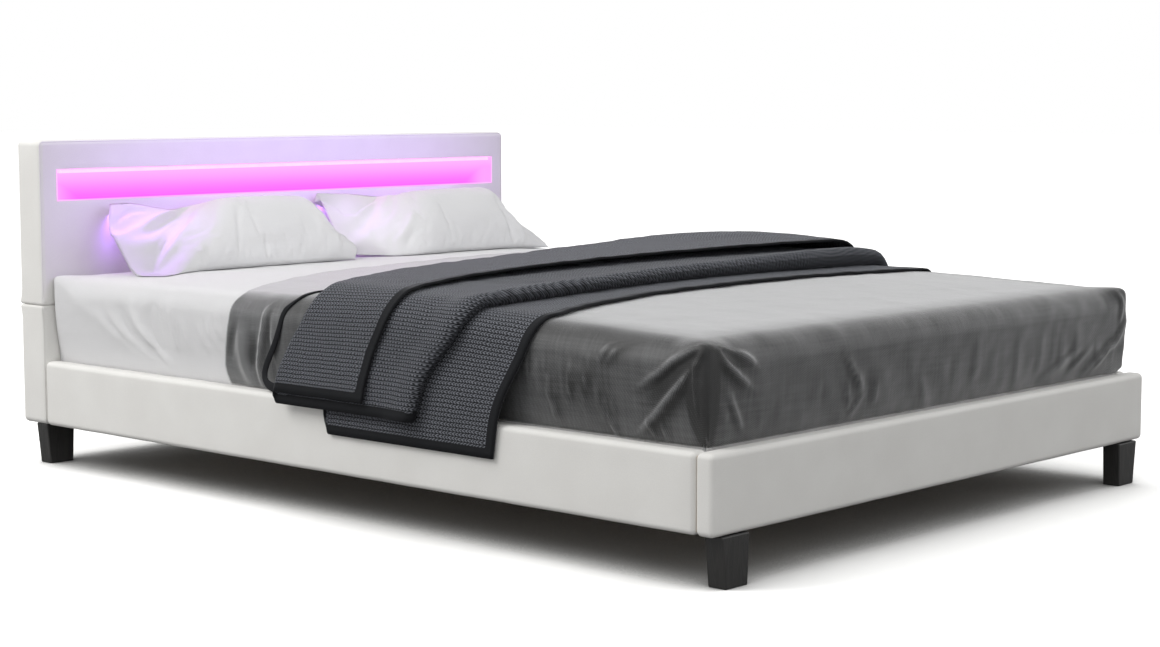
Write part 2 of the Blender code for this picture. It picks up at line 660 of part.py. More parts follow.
def build_deck():
    """Ledges, the hung centre beam on its two legs, and the slats across them."""
    for side, sign in (("left", -1), ("right", 1)):
        edges = sorted((sign * (INNER_HALF - FIT), sign * (INNER_HALF - FIT - LEDGE_SIZE)))
        box_part(
            f"slat_ledge_{side}",
            (edges[0], FOOT_INNER + LEDGE_END_GAP, DECK_TOP - LEDGE_SIZE),
            (edges[1], HEAD_FACE - LEDGE_END_GAP, DECK_TOP),
            "pine",
        )
    beam_end = HANGER_WALL + 2 * FIT
    box_part(
        "centre_beam",
        (-BEAM_WIDTH / 2, FOOT_INNER + beam_end, BEAM_BOTTOM),
        (BEAM_WIDTH / 2, HEAD_FACE - beam_end, DECK_TOP),
        "pine",
    )
    for end, face, inward in (("foot", FOOT_INNER, 1), ("head", HEAD_FACE, -1)):
        build_hanger(end, face, inward)
    for end, sign in (("foot", -1), ("head", 1)):
        build_centre_leg(end, sign * CENTRE_LEG_SPACING / 2)

    first = FOOT_INNER + LEDGE_END_GAP + SLAT_WIDTH / 2
    last = HEAD_FACE - LEDGE_END_GAP - SLAT_WIDTH / 2
    for index in range(SLAT_COUNT):
        centre = first + (last - first) * index / (SLAT_COUNT - 1)
        box_part(
            f"slat_{index + 1:02d}",
            (-INNER_HALF + SLAT_END_GAP, centre - SLAT_WIDTH / 2, SLAT_BOTTOM),
            (INNER_HALF - SLAT_END_GAP, centre + SLAT_WIDTH / 2, SLAT_BOTTOM + SLAT_THICKNESS),
            "pine", SLAT_EDGE_RADIUS,
        )


def build_hanger(end, face, inward):
    """A steel stirrup on the end face that the beam drops into."""
    half = BEAM_WIDTH / 2 + FIT + HANGER_WALL
    depths = sorted((face + inward * FIT, face + inward * HANGER_DEPTH))
    bottom = BEAM_BOTTOM - FIT - HANGER_WALL
    hanger = box_part(
        f"beam_hanger_{end}", (-half, depths[0], bottom), (half, depths[1], DECK_TOP - HANGER_LIP), "steel"
    )
    inner = sorted((face + inward * (FIT + HANGER_WALL), face + inward * (HANGER_DEPTH + CUT_OVERRUN)))
    cut(hanger, box_cutter(
        f"beam_hanger_{end}_hollow",
        (-half + HANGER_WALL, inner[0], bottom + HANGER_WALL),
        (half - HANGER_WALL, inner[1], DECK_TOP + CUT_OVERRUN),
    ))


def build_centre_leg(end, place_y):
    """A leg under the beam, and the glide that screws up into it."""
    top = BEAM_BOTTOM - FIT
    leg_length = top - CENTRE_LEG_GROUND_GAP
    name = f"centre_leg_{end}"
    leg = add_part(
        name, rod_mesh(name, CENTRE_LEG_RADIUS, leg_length, 16), "black_block",
        (0, place_y, CENTRE_LEG_GROUND_GAP),
    )
    combine(leg, add_cutter(
        f"{name}_flange", rod_mesh(f"{name}_flange", FLANGE_RADIUS, FLANGE_THICKNESS, 16),
        (0, place_y, top - FLANGE_THICKNESS),
    ), "UNION")
    cut(leg, add_cutter(
        f"{name}_bore",
        rod_mesh(f"{name}_bore", GLIDE_STEM_RADIUS + FIT, GLIDE_BORE_DEPTH + CENTRE_LEG_GROUND_GAP, 12),
        (0, place_y, 0),
    ))
    name = f"levelling_glide_{end}"
    glide = add_part(
        name, rod_mesh(name, GLIDE_RADIUS, GLIDE_THICKNESS, 16), "dark_plastic", (0, place_y, 0)
    )
    combine(glide, add_cutter(
        f"{name}_stem",
        rod_mesh(f"{name}_stem", GLIDE_STEM_RADIUS, GLIDE_STEM_LENGTH + GLIDE_THICKNESS / 2, 12),
        (0, place_y, GLIDE_THICKNESS / 2),
    ), "UNION")


def shoulder_levels(reach_past, rise_past):
    """Insets from the widest line and heights over the shoulder arc and the crown."""
    levels = []
    for step in range(1, SHOULDER_STEPS + 1):
        angle = math.radians(90) * step / SHOULDER_STEPS
        levels.append((
            MATTRESS_SHOULDER_REACH - (MATTRESS_SHOULDER_REACH + reach_past) * math.cos(angle),
            (MATTRESS_SHOULDER_RISE + rise_past) * math.sin(angle),
        ))
    flat = MATTRESS_HALF_WIDTH + MATTRESS_BULGE - MATTRESS_SHOULDER_REACH
    for share in MATTRESS_CROWN_SHARES:
        levels.append((
            MATTRESS_SHOULDER_REACH + flat * share,
            MATTRESS_SHOULDER_RISE + rise_past + MATTRESS_CROWN * (1 - (1 - share) ** 2),
        ))
    return levels


def ring_at(inset, height, outset=0):
    """Corners of one level of the mattress: a rectangle with round corners, as points."""
    bulge_share = outset / MATTRESS_BULGE
    half = MATTRESS_HALF_WIDTH + outset - inset
    foot = MATTRESS_FOOT - MATTRESS_FOOT_BULGE * bulge_share + inset
    head = MATTRESS_HEAD - max(inset, 0)
    radius = MATTRESS_CORNER_RADIUS
    centres = (
        (half - radius, head - radius, 0), (-half + radius, head - radius, 90),
        (-half + radius, foot + radius, 180), (half - radius, foot + radius, 270),
    )
    points = []
    for index, (x, y, start) in enumerate(centres):
        for step in range(CORNER_STEPS + 1):
            angle = math.radians(start + 90 * step / CORNER_STEPS)
            points.append(Vector((x + radius * math.cos(angle), y + radius * math.sin(angle), height)))
        following = centres[(index + 1) % 4]
        angle = math.radians(following[2])
        ending = Vector((
            following[0] + radius * math.cos(angle), following[1] + radius * math.sin(angle), height
        ))
        steps = SHORT_SIDE_STEPS if index % 2 == 0 else LONG_SIDE_STEPS
        begun = points[-1].copy()
        points.extend(begun.lerp(ending, step / steps) for step in range(1, steps))
    return points


def mattress_rings(grown=0):
    """Levels from the base to the crown, grown outwards by a clearance."""
    widest = MATTRESS_BOTTOM + MATTRESS_SIDE_HEIGHT
    rings = []
    if not grown:
        rings.append(ring_at(MATTRESS_BASE_RADIUS, MATTRESS_BOTTOM))
        rings.append(ring_at(0, MATTRESS_BOTTOM + MATTRESS_BASE_RADIUS))
    for share, bulge_share in zip(MATTRESS_SIDE_SHARES, MATTRESS_BULGE_SHARES):
        height = MATTRESS_BOTTOM + MATTRESS_SIDE_HEIGHT * share
        rings.append(ring_at(-grown, height, MATTRESS_BULGE * bulge_share))
    rings.append(ring_at(-grown, widest, MATTRESS_BULGE))
    for inset, rise in shoulder_levels(grown, grown):
        rings.append(ring_at(inset, widest + rise, MATTRESS_BULGE))
    return rings


def loft(shape, rings, close_base):
    """Joins the rings in order, with a cap on the last and, where asked, on the first."""
    rows = [[shape.verts.new(point) for point in ring] for ring in rings]
    for lower, upper in zip(rows, rows[1:]):
        for index in range(len(lower)):
            after = (index + 1) % len(lower)
            shape.faces.new((lower[index], lower[after], upper[after], upper[index]))
    shape.faces.new(rows[-1])
    if close_base:
        shape.faces.new(list(reversed(rows[0])))


def build_mattress():
    mesh = mesh_from(lambda shape: loft(shape, mattress_rings(), True), "mattress")
    mesh.shade_smooth()
    add_part("mattress", mesh, "white_cotton")


def build_cover():
    """Satin over the foot end: the mattress's own form, grown, cut off and given a thickness."""
    def build(shape):
        loft(shape, mattress_rings(COVER_REST), False)
        for place, normal in (((0, COVER_HEAD_EDGE, 0), (0, 1, 0)), ((0, 0, COVER_HEM_HEIGHT), (0, 0, -1))):
            everything = shape.verts[:] + shape.edges[:] + shape.faces[:]
            bmesh.ops.bisect_plane(shape, geom=everything, plane_co=place, plane_no=normal, clear_outer=True)

    mesh = mesh_from(build, "satin_cover")
    mesh.shade_smooth()
    cover = add_part("satin_cover", mesh, "satin")
    shell = cover.modifiers.new("Cloth", "SOLIDIFY")
    shell.thickness = COVER_THICKNESS
    shell.offset = 1.0


def between(table, place):
    """Value of a table of (place, value) pairs, read in straight lines."""
    for (start, low), (end, high) in zip(table, table[1:]):
        if place <= end:
            return low + (high - low) * max(place - start, 0) / (end - start)
    return table[-1][1]


def throw_path():
    """Half of the line that the throw lies on, as (x, z) from the hem to the middle."""
    widest = MATTRESS_BOTTOM + MATTRESS_SIDE_HEIGHT
    edge = MATTRESS_HALF_WIDTH + MATTRESS_BULGE
    outside = HALF_WIDTH + THROW_RAIL_GAP
    points = [(outside, hem) for hem in THROW_HEMS]
    start = THROW_HEMS[-1]
    for rise_share, lean_share in THROW_LEAN_SHARES[1:]:
        x = outside + (edge + THROW_REST - outside) * lean_share
        points.append((x, start + (widest - start) * rise_share))
    for inset, rise in shoulder_levels(THROW_REST, THROW_REST)[:SHOULDER_STEPS]:
        points.append((edge - inset, widest + rise))
    flat = edge - MATTRESS_SHOULDER_REACH
    top = widest + MATTRESS_SHOULDER_RISE + THROW_REST
    for share in THROW_TOP_SHARES:
        points.append((flat * (1 - share), top + MATTRESS_CROWN * (1 - (1 - share) ** 2)))
    return points


def throw_stations():
    """The whole path, left hem to right hem: (place share, point, outward direction)."""
    half = throw_path()
    line = [Vector((-x, 0, z)) for x, z in half] + [Vector((x, 0, z)) for x, z in reversed(half[:-1])]
    lengths = [0.0]
    for start, end in zip(line, line[1:]):
        lengths.append(lengths[-1] + (end - start).length)
    stations = []
    for index, point in enumerate(line):
        along = line[min(index + 1, len(line) - 1)] - line[max(index - 1, 0)]
        outward = Vector((-along.z, 0, along.x)).normalized()
        stations.append((2 * lengths[index] / lengths[-1] - 1, point, outward))
    return stations


def throw_layer(layer, adder):
    """One layer of the folded throw: an open surface with a thickness that varies over it."""
    stations = throw_stations()[layer:]
    stations = stations[:len(stations) - layer]
    base = THROW_LAYER_THICKNESSES[layer]
    roll = THROW_ROLL_RISES[layer]
    fullest = base + THROW_SWELL + roll
    rows, shares = [], []
    for share, point, outward in stations:
        swell = THROW_SWELL * between(THROW_SWELL_SHARES, share)
        lift = THROW_LAYER_LIFTS[layer] + (swell if layer == 2 else 0)
        swollen = base + (swell if layer == 1 else 0)
        head = THROW_FOOT_END + THROW_SPAN * between(THROW_HEAD_SHARES, share)
        head += THROW_HEAD_STAGGER * layer
        foot = THROW_FOOT_END + THROW_SPAN * between(THROW_FOOT_SHARES[layer], share)
        columns = (
            (head, base * THROW_EDGE_SHARE), (head - THROW_ROLL_WIDTH / 2, base),
            ((head + foot) / 2, swollen), (foot + THROW_ROLL_WIDTH * 2, swollen),
            (foot + THROW_ROLL_WIDTH, swollen + roll), (foot + THROW_ROLL_WIDTH / 4, swollen + roll / 2),
            (foot, (swollen + roll) * THROW_EDGE_SHARE),
        )
        rows.append([point + outward * lift + Vector((0, depth, 0)) for depth, thickness in columns])
        shares.extend(thickness / fullest for depth, thickness in columns)

    def build(shape):
        made = [[shape.verts.new(place) for place in row] for row in rows]
        for row, after in zip(made, made[1:]):
            for index in range(len(row) - 1):
                shape.faces.new((row[index], row[index + 1], after[index + 1], after[index]))

    part = adder(mesh_from(build, f"throw_layer_{layer + 1}"))
    group = part.vertex_groups.new(name="fullness")
    for index, share in enumerate(shares):
        group.add([index], share, "REPLACE")
    cloth = part.modifiers.new("Cloth", "SOLIDIFY")
    cloth.thickness = fullest
    cloth.offset = 1.0
    cloth.vertex_group = group.name
    return part


def build_throw():
    """Three layers of one folded blanket, each hanging less far than the one under it."""
    throw = throw_layer(0, lambda mesh: add_part("knitted_throw", mesh, "knit"))
    for layer in (1, 2):
        combine(throw, throw_layer(layer, lambda mesh: add_cutter(mesh.name, mesh)), "UNION")


def crown_height(x):
    """Top of the mattress at a place across it."""
    flat = MATTRESS_HALF_WIDTH + MATTRESS_BULGE - MATTRESS_SHOULDER_REACH
    outward = min(abs(x) / flat, 1.0)
    return MATTRESS_TOP - MATTRESS_CROWN * outward ** 2


def pillow_mesh(name, left_end, slump_share, base):
    """A leaning pillow: sections along X between a low front seam and a high back seam."""
    def section(share):
        x = left_end + PILLOW_WIDTH * (share + 1) / 2
        rest = crown_height(x) + base
        front = Vector((0, HEAD_FACE - PILLOW_FRONT_REACH, rest))
        high_back = Vector((0, HEAD_FACE - PILLOW_BACK_GAP, rest + PILLOW_RISE))
        low_back = Vector((0, high_back.y, rest + PILLOW_RISE * (1 - slump_share)))
        fullness = max((1 - abs(share) ** 3) ** 0.5, PILLOW_SEAM_SHARE)
        slump = max(share - PILLOW_SLUMP_START_SHARE, 0) / (1 - PILLOW_SLUMP_START_SHARE)
        back = high_back.lerp(low_back, slump ** 2)
        seam = back - front
        leaning = Vector((0, -seam.z, seam.y)).normalized()
        height_share = seam.length / (high_back - front).length
        points = []
        for along, bulge in PILLOW_FRONT_SHARES:
            points.append(front + seam * along + leaning * bulge * PILLOW_FRONT_FULLNESS * fullness)
        for along, bulge in PILLOW_BACK_SHARES:
            depth = bulge * PILLOW_BACK_FULLNESS * fullness * height_share
            points.append(front + seam * along - leaning * depth)
        return [point + Vector((x, 0, 0)) for point in points]

    def build(shape):
        loft(shape, [section(share) for share in PILLOW_STATION_SHARES], True)
        bmesh.ops.recalc_face_normals(shape, faces=shape.faces)

    mesh = mesh_from(build, name)
    mesh.shade_smooth()
    return mesh


def build_pillows():
    left_end = -MATTRESS_HALF_WIDTH + PILLOW_SIDE_MARGIN
    for side in ("left", "right"):
        name = f"pillow_{side}"
        mesh = pillow_mesh(name, left_end, PILLOW_SLUMP_SHARES[side], PILLOW_RESTS[side])
        pillow = add_part(name, mesh, "white_cotton")
        soft = pillow.modifiers.new("Soft form", "SUBSURF")
        soft.levels = 1
        soft.render_levels = 1
        left_end += PILLOW_WIDTH + PILLOW_GAP


def main():
    covers, cores, backs = build_headboard()
    build_niche(covers[0], cores[0], backs[0])
    rails = build_rails()
    headboard_lower = (covers[1], cores[1])
    build_legs(headboard_lower, rails)
    build_brackets(headboard_lower, rails)
    build_deck()
    build_mattress()
    build_cover()
    build_throw()
    build_pillows()


for leftover in list(bpy.data.objects):
    bpy.data.objects.remove(leftover)
PARTS = new_collection("leather_bed")
CUTTERS = new_collection("cutters")
main()
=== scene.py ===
"""Looks of a low padded bed: studio, leather frame, lit niche and its bedding.

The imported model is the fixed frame. Each class below builds one sub-assembly in place
and dresses it, and main() runs them in order.
"""
from __future__ import annotations

import json
import logging
import math
from dataclasses import dataclass, field, replace
from enum import Enum
from typing import Any, Callable, Iterable, Mapping, Sequence

import bpy
import numpy as np
from mathutils import Matrix, Vector

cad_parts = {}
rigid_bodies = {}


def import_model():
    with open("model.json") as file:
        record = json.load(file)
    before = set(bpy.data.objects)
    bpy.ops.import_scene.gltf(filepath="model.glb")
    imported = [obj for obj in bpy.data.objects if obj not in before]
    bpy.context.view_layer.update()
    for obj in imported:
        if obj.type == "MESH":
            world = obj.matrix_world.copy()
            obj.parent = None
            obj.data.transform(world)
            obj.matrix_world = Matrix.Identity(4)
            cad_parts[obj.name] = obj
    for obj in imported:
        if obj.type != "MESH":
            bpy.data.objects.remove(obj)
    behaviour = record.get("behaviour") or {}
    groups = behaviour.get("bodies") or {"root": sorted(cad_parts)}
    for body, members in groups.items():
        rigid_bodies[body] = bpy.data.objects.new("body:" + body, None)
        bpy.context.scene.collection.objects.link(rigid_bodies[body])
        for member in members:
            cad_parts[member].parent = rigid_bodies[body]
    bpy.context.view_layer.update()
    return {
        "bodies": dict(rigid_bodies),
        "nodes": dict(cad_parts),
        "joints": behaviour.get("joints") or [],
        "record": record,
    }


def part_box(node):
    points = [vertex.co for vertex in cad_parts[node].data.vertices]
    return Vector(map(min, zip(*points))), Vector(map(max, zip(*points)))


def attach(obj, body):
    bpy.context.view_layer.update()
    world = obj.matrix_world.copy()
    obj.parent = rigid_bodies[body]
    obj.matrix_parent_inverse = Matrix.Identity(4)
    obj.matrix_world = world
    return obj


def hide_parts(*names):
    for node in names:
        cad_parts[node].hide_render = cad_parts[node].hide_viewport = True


log = logging.getLogger("bed")
Array, Piece, Material = np.ndarray, bpy.types.Object, bpy.types.Material
Tree, Node, Socket = bpy.types.NodeTree, bpy.types.Node, bpy.types.NodeSocket
Pair = tuple[float, float]
Triple = tuple[float, float, float]
Table = tuple[Pair, ...]
Knots = tuple[tuple[float, ...], ...]
Grid = tuple[Array, Array, Array]
Rows = tuple[tuple[Any, ...], ...]


# Meshes in the making


class Side(Enum):
    """The six sides of a box, as axis and sign."""

    LEFT = (0, -1)
    RIGHT = (0, 1)
    FOOT = (1, -1)
    HEAD = (1, 1)
    BOTTOM = (2, -1)
    TOP = (2, 1)


def lines(*spans: Triple) -> Array:
    """Places of grid lines over joined spans, each given as (start, end, step)."""
    found = [spans[0][0]]
    for start, end, step in spans:
        count = max(int(round((end - start) / step)), 1)
        found.extend(start + (end - start) * (index + 1) / count for index in range(count))
    return np.array(found)


def soft_lines(low: float, high: float, radius: float, step: float, extra: Sequence[float] = ()) -> Array:
    """Grid lines from low to high that are close together where the edges are rounded.

    Args:
        low: First line.
        high: Last line.
        radius: Depth of the rounded edge at both ends.
        step: Spacing between the edges.
        extra: Places that get a line of their own.

    Returns:
        The sorted places.
    """
    edge = [radius * share for share in (0.0, 0.16, 0.33, 0.5, 0.68, 0.86, 1.0)]
    inner = list(lines((low + radius, high - radius, step)))
    kept = [place for place in inner if all(abs(place - other) > step * 0.3 for other in extra)]
    places = [low + e for e in edge[:-1]] + kept + [high - e for e in reversed(edge[:-1])] + list(extra)
    return np.array(sorted(places))


def linked(name: str, data: Any) -> Piece:
    """A new object with this data, in the scene."""
    thing = bpy.data.objects.new(name, data)
    bpy.context.scene.collection.objects.link(thing)
    return thing


def eased(values: Array, reach: int = 2) -> Array:
    """The values, each averaged with its neighbours within reach."""
    count = 2 * reach + 1
    return np.convolve(np.pad(values, reach, mode="edge"), np.ones(count) / count, mode="valid")


def smooth(low: float, high: float, value: Array) -> Array:
    """Zero below low, one above high, and a soft step between."""
    share = np.clip((value - low) / (high - low), 0.0, 1.0)
    return share * share * (3.0 - 2.0 * share)


def ripple(points: Array, size: float, seed: int, octaves: int = 3) -> Array:
    """Soft noise from a few sine fields, from about -1 to 1, the same on each run.

    Args:
        points: Places, one row each.
        size: Typical distance from one hump to the next, in metres.
        seed: Chooses the field.
        octaves: How many finer fields are added.

    Returns:
        One value for each place.
    """
    chance = np.random.default_rng(seed)
    total = np.zeros(len(points))
    for octave in range(octaves):
        waves = chance.normal(size=(5, 3))
        waves /= np.linalg.norm(waves, axis=1, keepdims=True)
        scale = 2.0 * math.pi / size * 1.7 ** octave * chance.uniform(0.7, 1.3, size=5)
        phase = chance.uniform(0, 2 * math.pi, size=5)
        total += np.sin(points @ waves.T * scale + phase).sum(axis=1) * 0.62 ** octave / 3.4
    return total


def spline(knots: Sequence[Sequence[float]], shares: Array) -> Array:
    """A smooth line through knots.

    Args:
        knots: Rows of a share from 0 to 1 and the place that the line has there.
        shares: Where the line is wanted.

    Returns:
        One place for each share.
    """
    table = np.array(knots, dtype=float)
    at, places = table[:, 0], table[:, 1:]
    slopes = np.gradient(places, at, axis=0)
    index = np.clip(np.searchsorted(at, shares, side="right") - 1, 0, len(at) - 2)
    span = (at[index + 1] - at[index])[:, None]
    t = (shares - at[index])[:, None] / span
    first, last = places[index], places[index + 1]
    leave, reach = slopes[index] * span, slopes[index + 1] * span
    return (
        first * (2 * t ** 3 - 3 * t ** 2 + 1) + leave * (t ** 3 - 2 * t ** 2 + t)
        + last * (3 * t ** 2 - 2 * t ** 3) + reach * (t ** 3 - t ** 2)
    )


@dataclass
class Skin:
    """Points, faces and unrolled cloth coordinates of a mesh that is being shaped."""

    points: Array
    faces: list[tuple[int, ...]]
    cloth: list[Table]
    marks: dict[str, Array] = field(default_factory=dict)

    def normals(self) -> Array:
        """Outward direction at each point, from its four-cornered faces."""
        quads = np.array([face for face in self.faces if len(face) == 4])
        corners = self.points[quads]
        facing = np.cross(corners[:, 2] - corners[:, 0], corners[:, 3] - corners[:, 1])
        total = np.zeros_like(self.points)
        for corner in range(4):
            np.add.at(total, quads[:, corner], facing)
        return total / np.maximum(np.linalg.norm(total, axis=1, keepdims=True), 1e-12)

    def push(self, distance: Array) -> None:
        """Moves each point outward by its distance."""
        self.points = self.points + self.normals() * distance[:, None]

    def to_object(self, name: str, material: Material, body: str, slot: str) -> Piece:
        """Makes the piece, smooth-shaded, with its material and body.

        Args:
            name: Name of the piece.
            material: Its finish.
            body: The CAD body that it rides on.
            slot: The record's slot that its finish comes from. Not used.

        Returns:
            The new object, linked to the scene.
        """
        mesh = bpy.data.meshes.new(name)
        mesh.from_pydata(self.points.tolist(), [], self.faces)
        layer = mesh.uv_layers.new(name="cloth")
        flat = np.array([pair for face in self.cloth for pair in face]).ravel()
        layer.data.foreach_set("uv", flat)
        for mark, values in self.marks.items():
            mesh.attributes.new(mark, "FLOAT", "POINT").data.foreach_set("value", values)
        mesh.shade_smooth()
        mesh.materials.append(material)
        piece = linked(name, mesh)
        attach(piece, body)
        log.info("%s: %d points", name, len(self.points))
        return piece


def grid_skin(places: Array, cloth: Array) -> Skin:
    """A skin from a grid of places, shaped (rows, columns, 3), with cloth coordinates."""
    rows, columns = places.shape[:2]
    index = np.arange(rows * columns).reshape(rows, columns)
    first, second = index[:-1, :-1].ravel(), index[1:, :-1].ravel()
    third, fourth = index[1:, 1:].ravel(), index[:-1, 1:].ravel()
    faces = [tuple(int(i) for i in face) for face in zip(first, second, third, fourth)]
    flat = cloth.reshape(-1, 2)
    return Skin(places.reshape(-1, 3).copy(), faces, [tuple(map(tuple, flat[list(face)])) for face in faces])


@dataclass
class SkinBox:
    """A box whose skin is a fine grid with rounded edges, open on the sides left out."""

    grid: Grid
    sides: Sequence[Side]
    radius: Callable[[Array], Array]

    def build(self, pockets: Mapping[Side, tuple[Triple, Triple]] | None = None) -> Skin:
        """Makes the skin.

        Args:
            pockets: For a side, the low and high corners of a part of it that stays open.

        Returns:
            The skin, with all faces outward and cloth coordinates unrolled over the top.
        """
        low = np.array([axis[0] for axis in self.grid])
        high = np.array([axis[-1] for axis in self.grid])
        index: dict[tuple[int, int, int], int] = {}
        places: list[Triple] = []
        faces: list[tuple[int, ...]] = []
        cloth: list[Table] = []

        def point(key: tuple[int, int, int]) -> int:
            """Number of the point at a grid place, made when first asked for."""
            if key not in index:
                index[key] = len(places)
                places.append(tuple(float(self.grid[a][key[a]]) for a in range(3)))
            return index[key]

        def unrolled(side: Side, place: Triple) -> Pair:
            """Cloth coordinates of a place, with the sides folded out level with the top."""
            axis, sign = side.value
            flat = [place[0], place[1]]
            if axis < 2:
                flat[axis] += sign * (high[2] - place[2])
            return tuple(flat)

        for side in self.sides:
            axis, sign = side.value
            first, second = [a for a in range(3) if a != axis]
            if (sign > 0) == (axis == 1):
                first, second = second, first
            fixed = 0 if sign < 0 else len(self.grid[axis]) - 1
            opening = (pockets or {}).get(side)
            for i in range(len(self.grid[first]) - 1):
                for j in range(len(self.grid[second]) - 1):
                    if opening is not None:
                        centre = (self.grid[first][i:i + 2].mean(), self.grid[second][j:j + 2].mean())
                        if all(opening[0][a] < c < opening[1][a] for a, c in zip((first, second), centre)):
                            continue
                    keys = []
                    for di, dj in ((0, 0), (1, 0), (1, 1), (0, 1)):
                        key = [0, 0, 0]
                        key[axis], key[first], key[second] = fixed, i + di, j + dj
                        keys.append(tuple(key))
                    corner = tuple(point(key) for key in keys)
                    faces.append(corner)
                    cloth.append(tuple(unrolled(side, places[c]) for c in corner))
        flat = np.array(places)
        radius = self.radius(flat)[:, None]
        room_low, room_high = (
            np.array([1.0 if Side((a, sign)) in self.sides else 0.0 for a in range(3)]) for sign in (-1, 1)
        )
        core = np.clip(flat, low + radius * room_low, high - radius * room_high)
        reach = flat - core
        length = np.maximum(np.linalg.norm(reach, axis=1, keepdims=True), 1e-9)
        return Skin(core + reach * radius / length, faces, cloth)


def add_pocket(skin: Skin, side: Side, low: Triple, high: Triple, depth: float, radius: float) -> None:
    """Continues the edge of an opening inward, with a rounded lip and a closed floor.

    Args:
        skin: The skin with an open part on that side.
        side: The side that it is on.
        low: Low corner of the opening itself, inside the rounded lip.
        high: High corner of the opening itself.
        depth: How far the pocket goes in.
        radius: Radius of the lip.
    """
    axis, sign = side.value
    counts: dict[tuple[int, int], int] = {}
    for face in skin.faces:
        for a, b in zip(face, face[1:] + face[:1]):
            counts[(a, b)] = counts.get((a, b), 0) + 1
    follow = {b: a for (a, b) in counts if (b, a) not in counts}
    plane = [a for a in range(3) if a != axis]
    margin = radius + 0.001
    starts = [
        v for v in follow
        if all(low[a] - margin < skin.points[v][a] < high[a] + margin for a in plane)
    ]
    loop = [starts[0]]
    while follow[loop[-1]] != loop[0]:
        loop.append(follow[loop[-1]])
    start = skin.points[loop]
    target = start.copy()
    for a in plane:
        target[:, a] = np.clip(start[:, a], low[a], high[a])
    steps = [(math.sin(turn), radius * (1 - math.cos(turn))) for turn in np.radians((22, 45, 68, 90))]

    def close(face: tuple[int, ...]) -> None:
        """Adds a face, with its places as cloth coordinates."""
        skin.faces.append(face)
        skin.cloth.append(tuple(tuple(float(skin.points[v][a]) for a in plane) for v in face))

    previous = loop
    for share, drop in steps + [(1.0, depth)]:
        ring = start + (target - start) * share
        ring[:, axis] = start[:, axis] - sign * drop
        base = len(skin.points)
        skin.points = np.vstack([skin.points, ring])
        current = list(range(base, base + len(loop)))
        for k in range(len(loop)):
            n = (k + 1) % len(loop)
            close((previous[k], previous[n], current[n], current[k]))
        previous = current
    close(tuple(previous))


@dataclass(frozen=True)
class Fold:
    """A ridge or, with a negative height, a valley along a line on a surface."""

    line: tuple[Triple, ...]
    height: float
    width: float
    lean: float = 0.0
    keen: float = 2.0

    def reach(self, points: Array, normals: Array) -> tuple[Array, Array]:
        """Measures how near each point is to the line.

        Args:
            points: Places, one row each.
            normals: Outward directions at them.

        Returns:
            The points' distance in widths, endless for those far off, and the fade
            towards the line's ends.
        """
        knots = np.array(self.line)
        room = self.width * 6
        near = np.all((points > knots.min(axis=0) - room) & (points < knots.max(axis=0) + room), axis=1)
        place, facing = points[near], normals[near]
        lengths = np.linalg.norm(np.diff(knots, axis=0), axis=1)
        reached = np.concatenate([[0.0], np.cumsum(lengths)])
        best = np.full(len(place), 1e9)
        share, beside = np.zeros(len(place)), np.zeros(len(place))
        for k, length in enumerate(lengths):
            way = (knots[k + 1] - knots[k]) / length
            offset = place - knots[k]
            t = np.clip(offset @ way, 0, length)
            gap = offset - t[:, None] * way
            distance = np.linalg.norm(gap, axis=1)
            closer = distance < best
            best = np.where(closer, distance, best)
            share = np.where(closer, (reached[k] + t) / reached[-1], share)
            across = np.einsum("ij,ij->i", np.cross(facing, way), gap)
            beside = np.where(closer, np.sign(across), beside)
        far, ends = np.full(len(points), np.inf), np.zeros(len(points))
        far[near] = best / (self.width * (1 + self.lean * beside))
        ends[near] = np.sqrt(np.clip(np.sin(math.pi * np.clip(share, 0.02, 0.98)), 0, 1))
        return far, ends

    def lift(self, points: Array, normals: Array) -> Array:
        """How far the fold moves each point outward."""
        distance, ends = self.reach(points, normals)
        return self.height * ends * np.exp(-distance ** self.keen)

    def tone(self, points: Array, normals: Array, full: float = 0.008) -> Array:
        """Painted highlight on the ridge and painted shade on its flanks or along the valley, as a tone for
        the colour.

        Args:
            points: Places, one row each.
            normals: Outward directions at them.
            full: Height of a fold that has the whole tone.

        Returns:
            One number for each place, from about -1 to 1.
        """
        distance, ends = self.reach(points, normals)
        if self.height < 0:
            return self.height / full * ends * np.exp(-distance ** 2)
        ridge, flank = np.exp(-(distance / 0.55) ** 2), np.exp(-(distance / 2.0) ** 2)
        return self.height / full * ends * (1.7 * ridge - 0.8 * flank)


def traced(rows: Rows, place: Callable[[float, float], Triple]) -> tuple[Fold, ...]:
    """Folds from rows of height, width, lean, keenness and then the line's points.

    Args:
        rows: One row for each fold, in millimetres apart from lean and keenness.
        place: Puts a point of a line, in metres, onto the surface.

    Returns:
        The folds, in metres.
    """
    return tuple(
        Fold(tuple(place(a / 1000, b / 1000) for a, b in points), height / 1000, width / 1000, lean, keen)
        for height, width, lean, keen, *points in rows
    )


def upward(points: Array) -> Array:
    """Straight up, once for each point."""
    return np.tile((0.0, 0.0, 1.0), (len(points), 1))


def lift_folds(skin: Skin, folds: Iterable[Fold]) -> Array:
    """Sum of what all folds do to a skin, as distances outward."""
    facing = skin.normals()
    return sum(fold.lift(skin.points, facing) for fold in folds)


def thicken(piece: Piece, thickness: float) -> None:
    """Gives an open skin the thickness of its cloth, half to each side."""
    shell = piece.modifiers.new("Thickness", "SOLIDIFY")
    shell.thickness = thickness
    shell.offset = 0.0
    shell.use_quality_normals = True


# Shader graphs


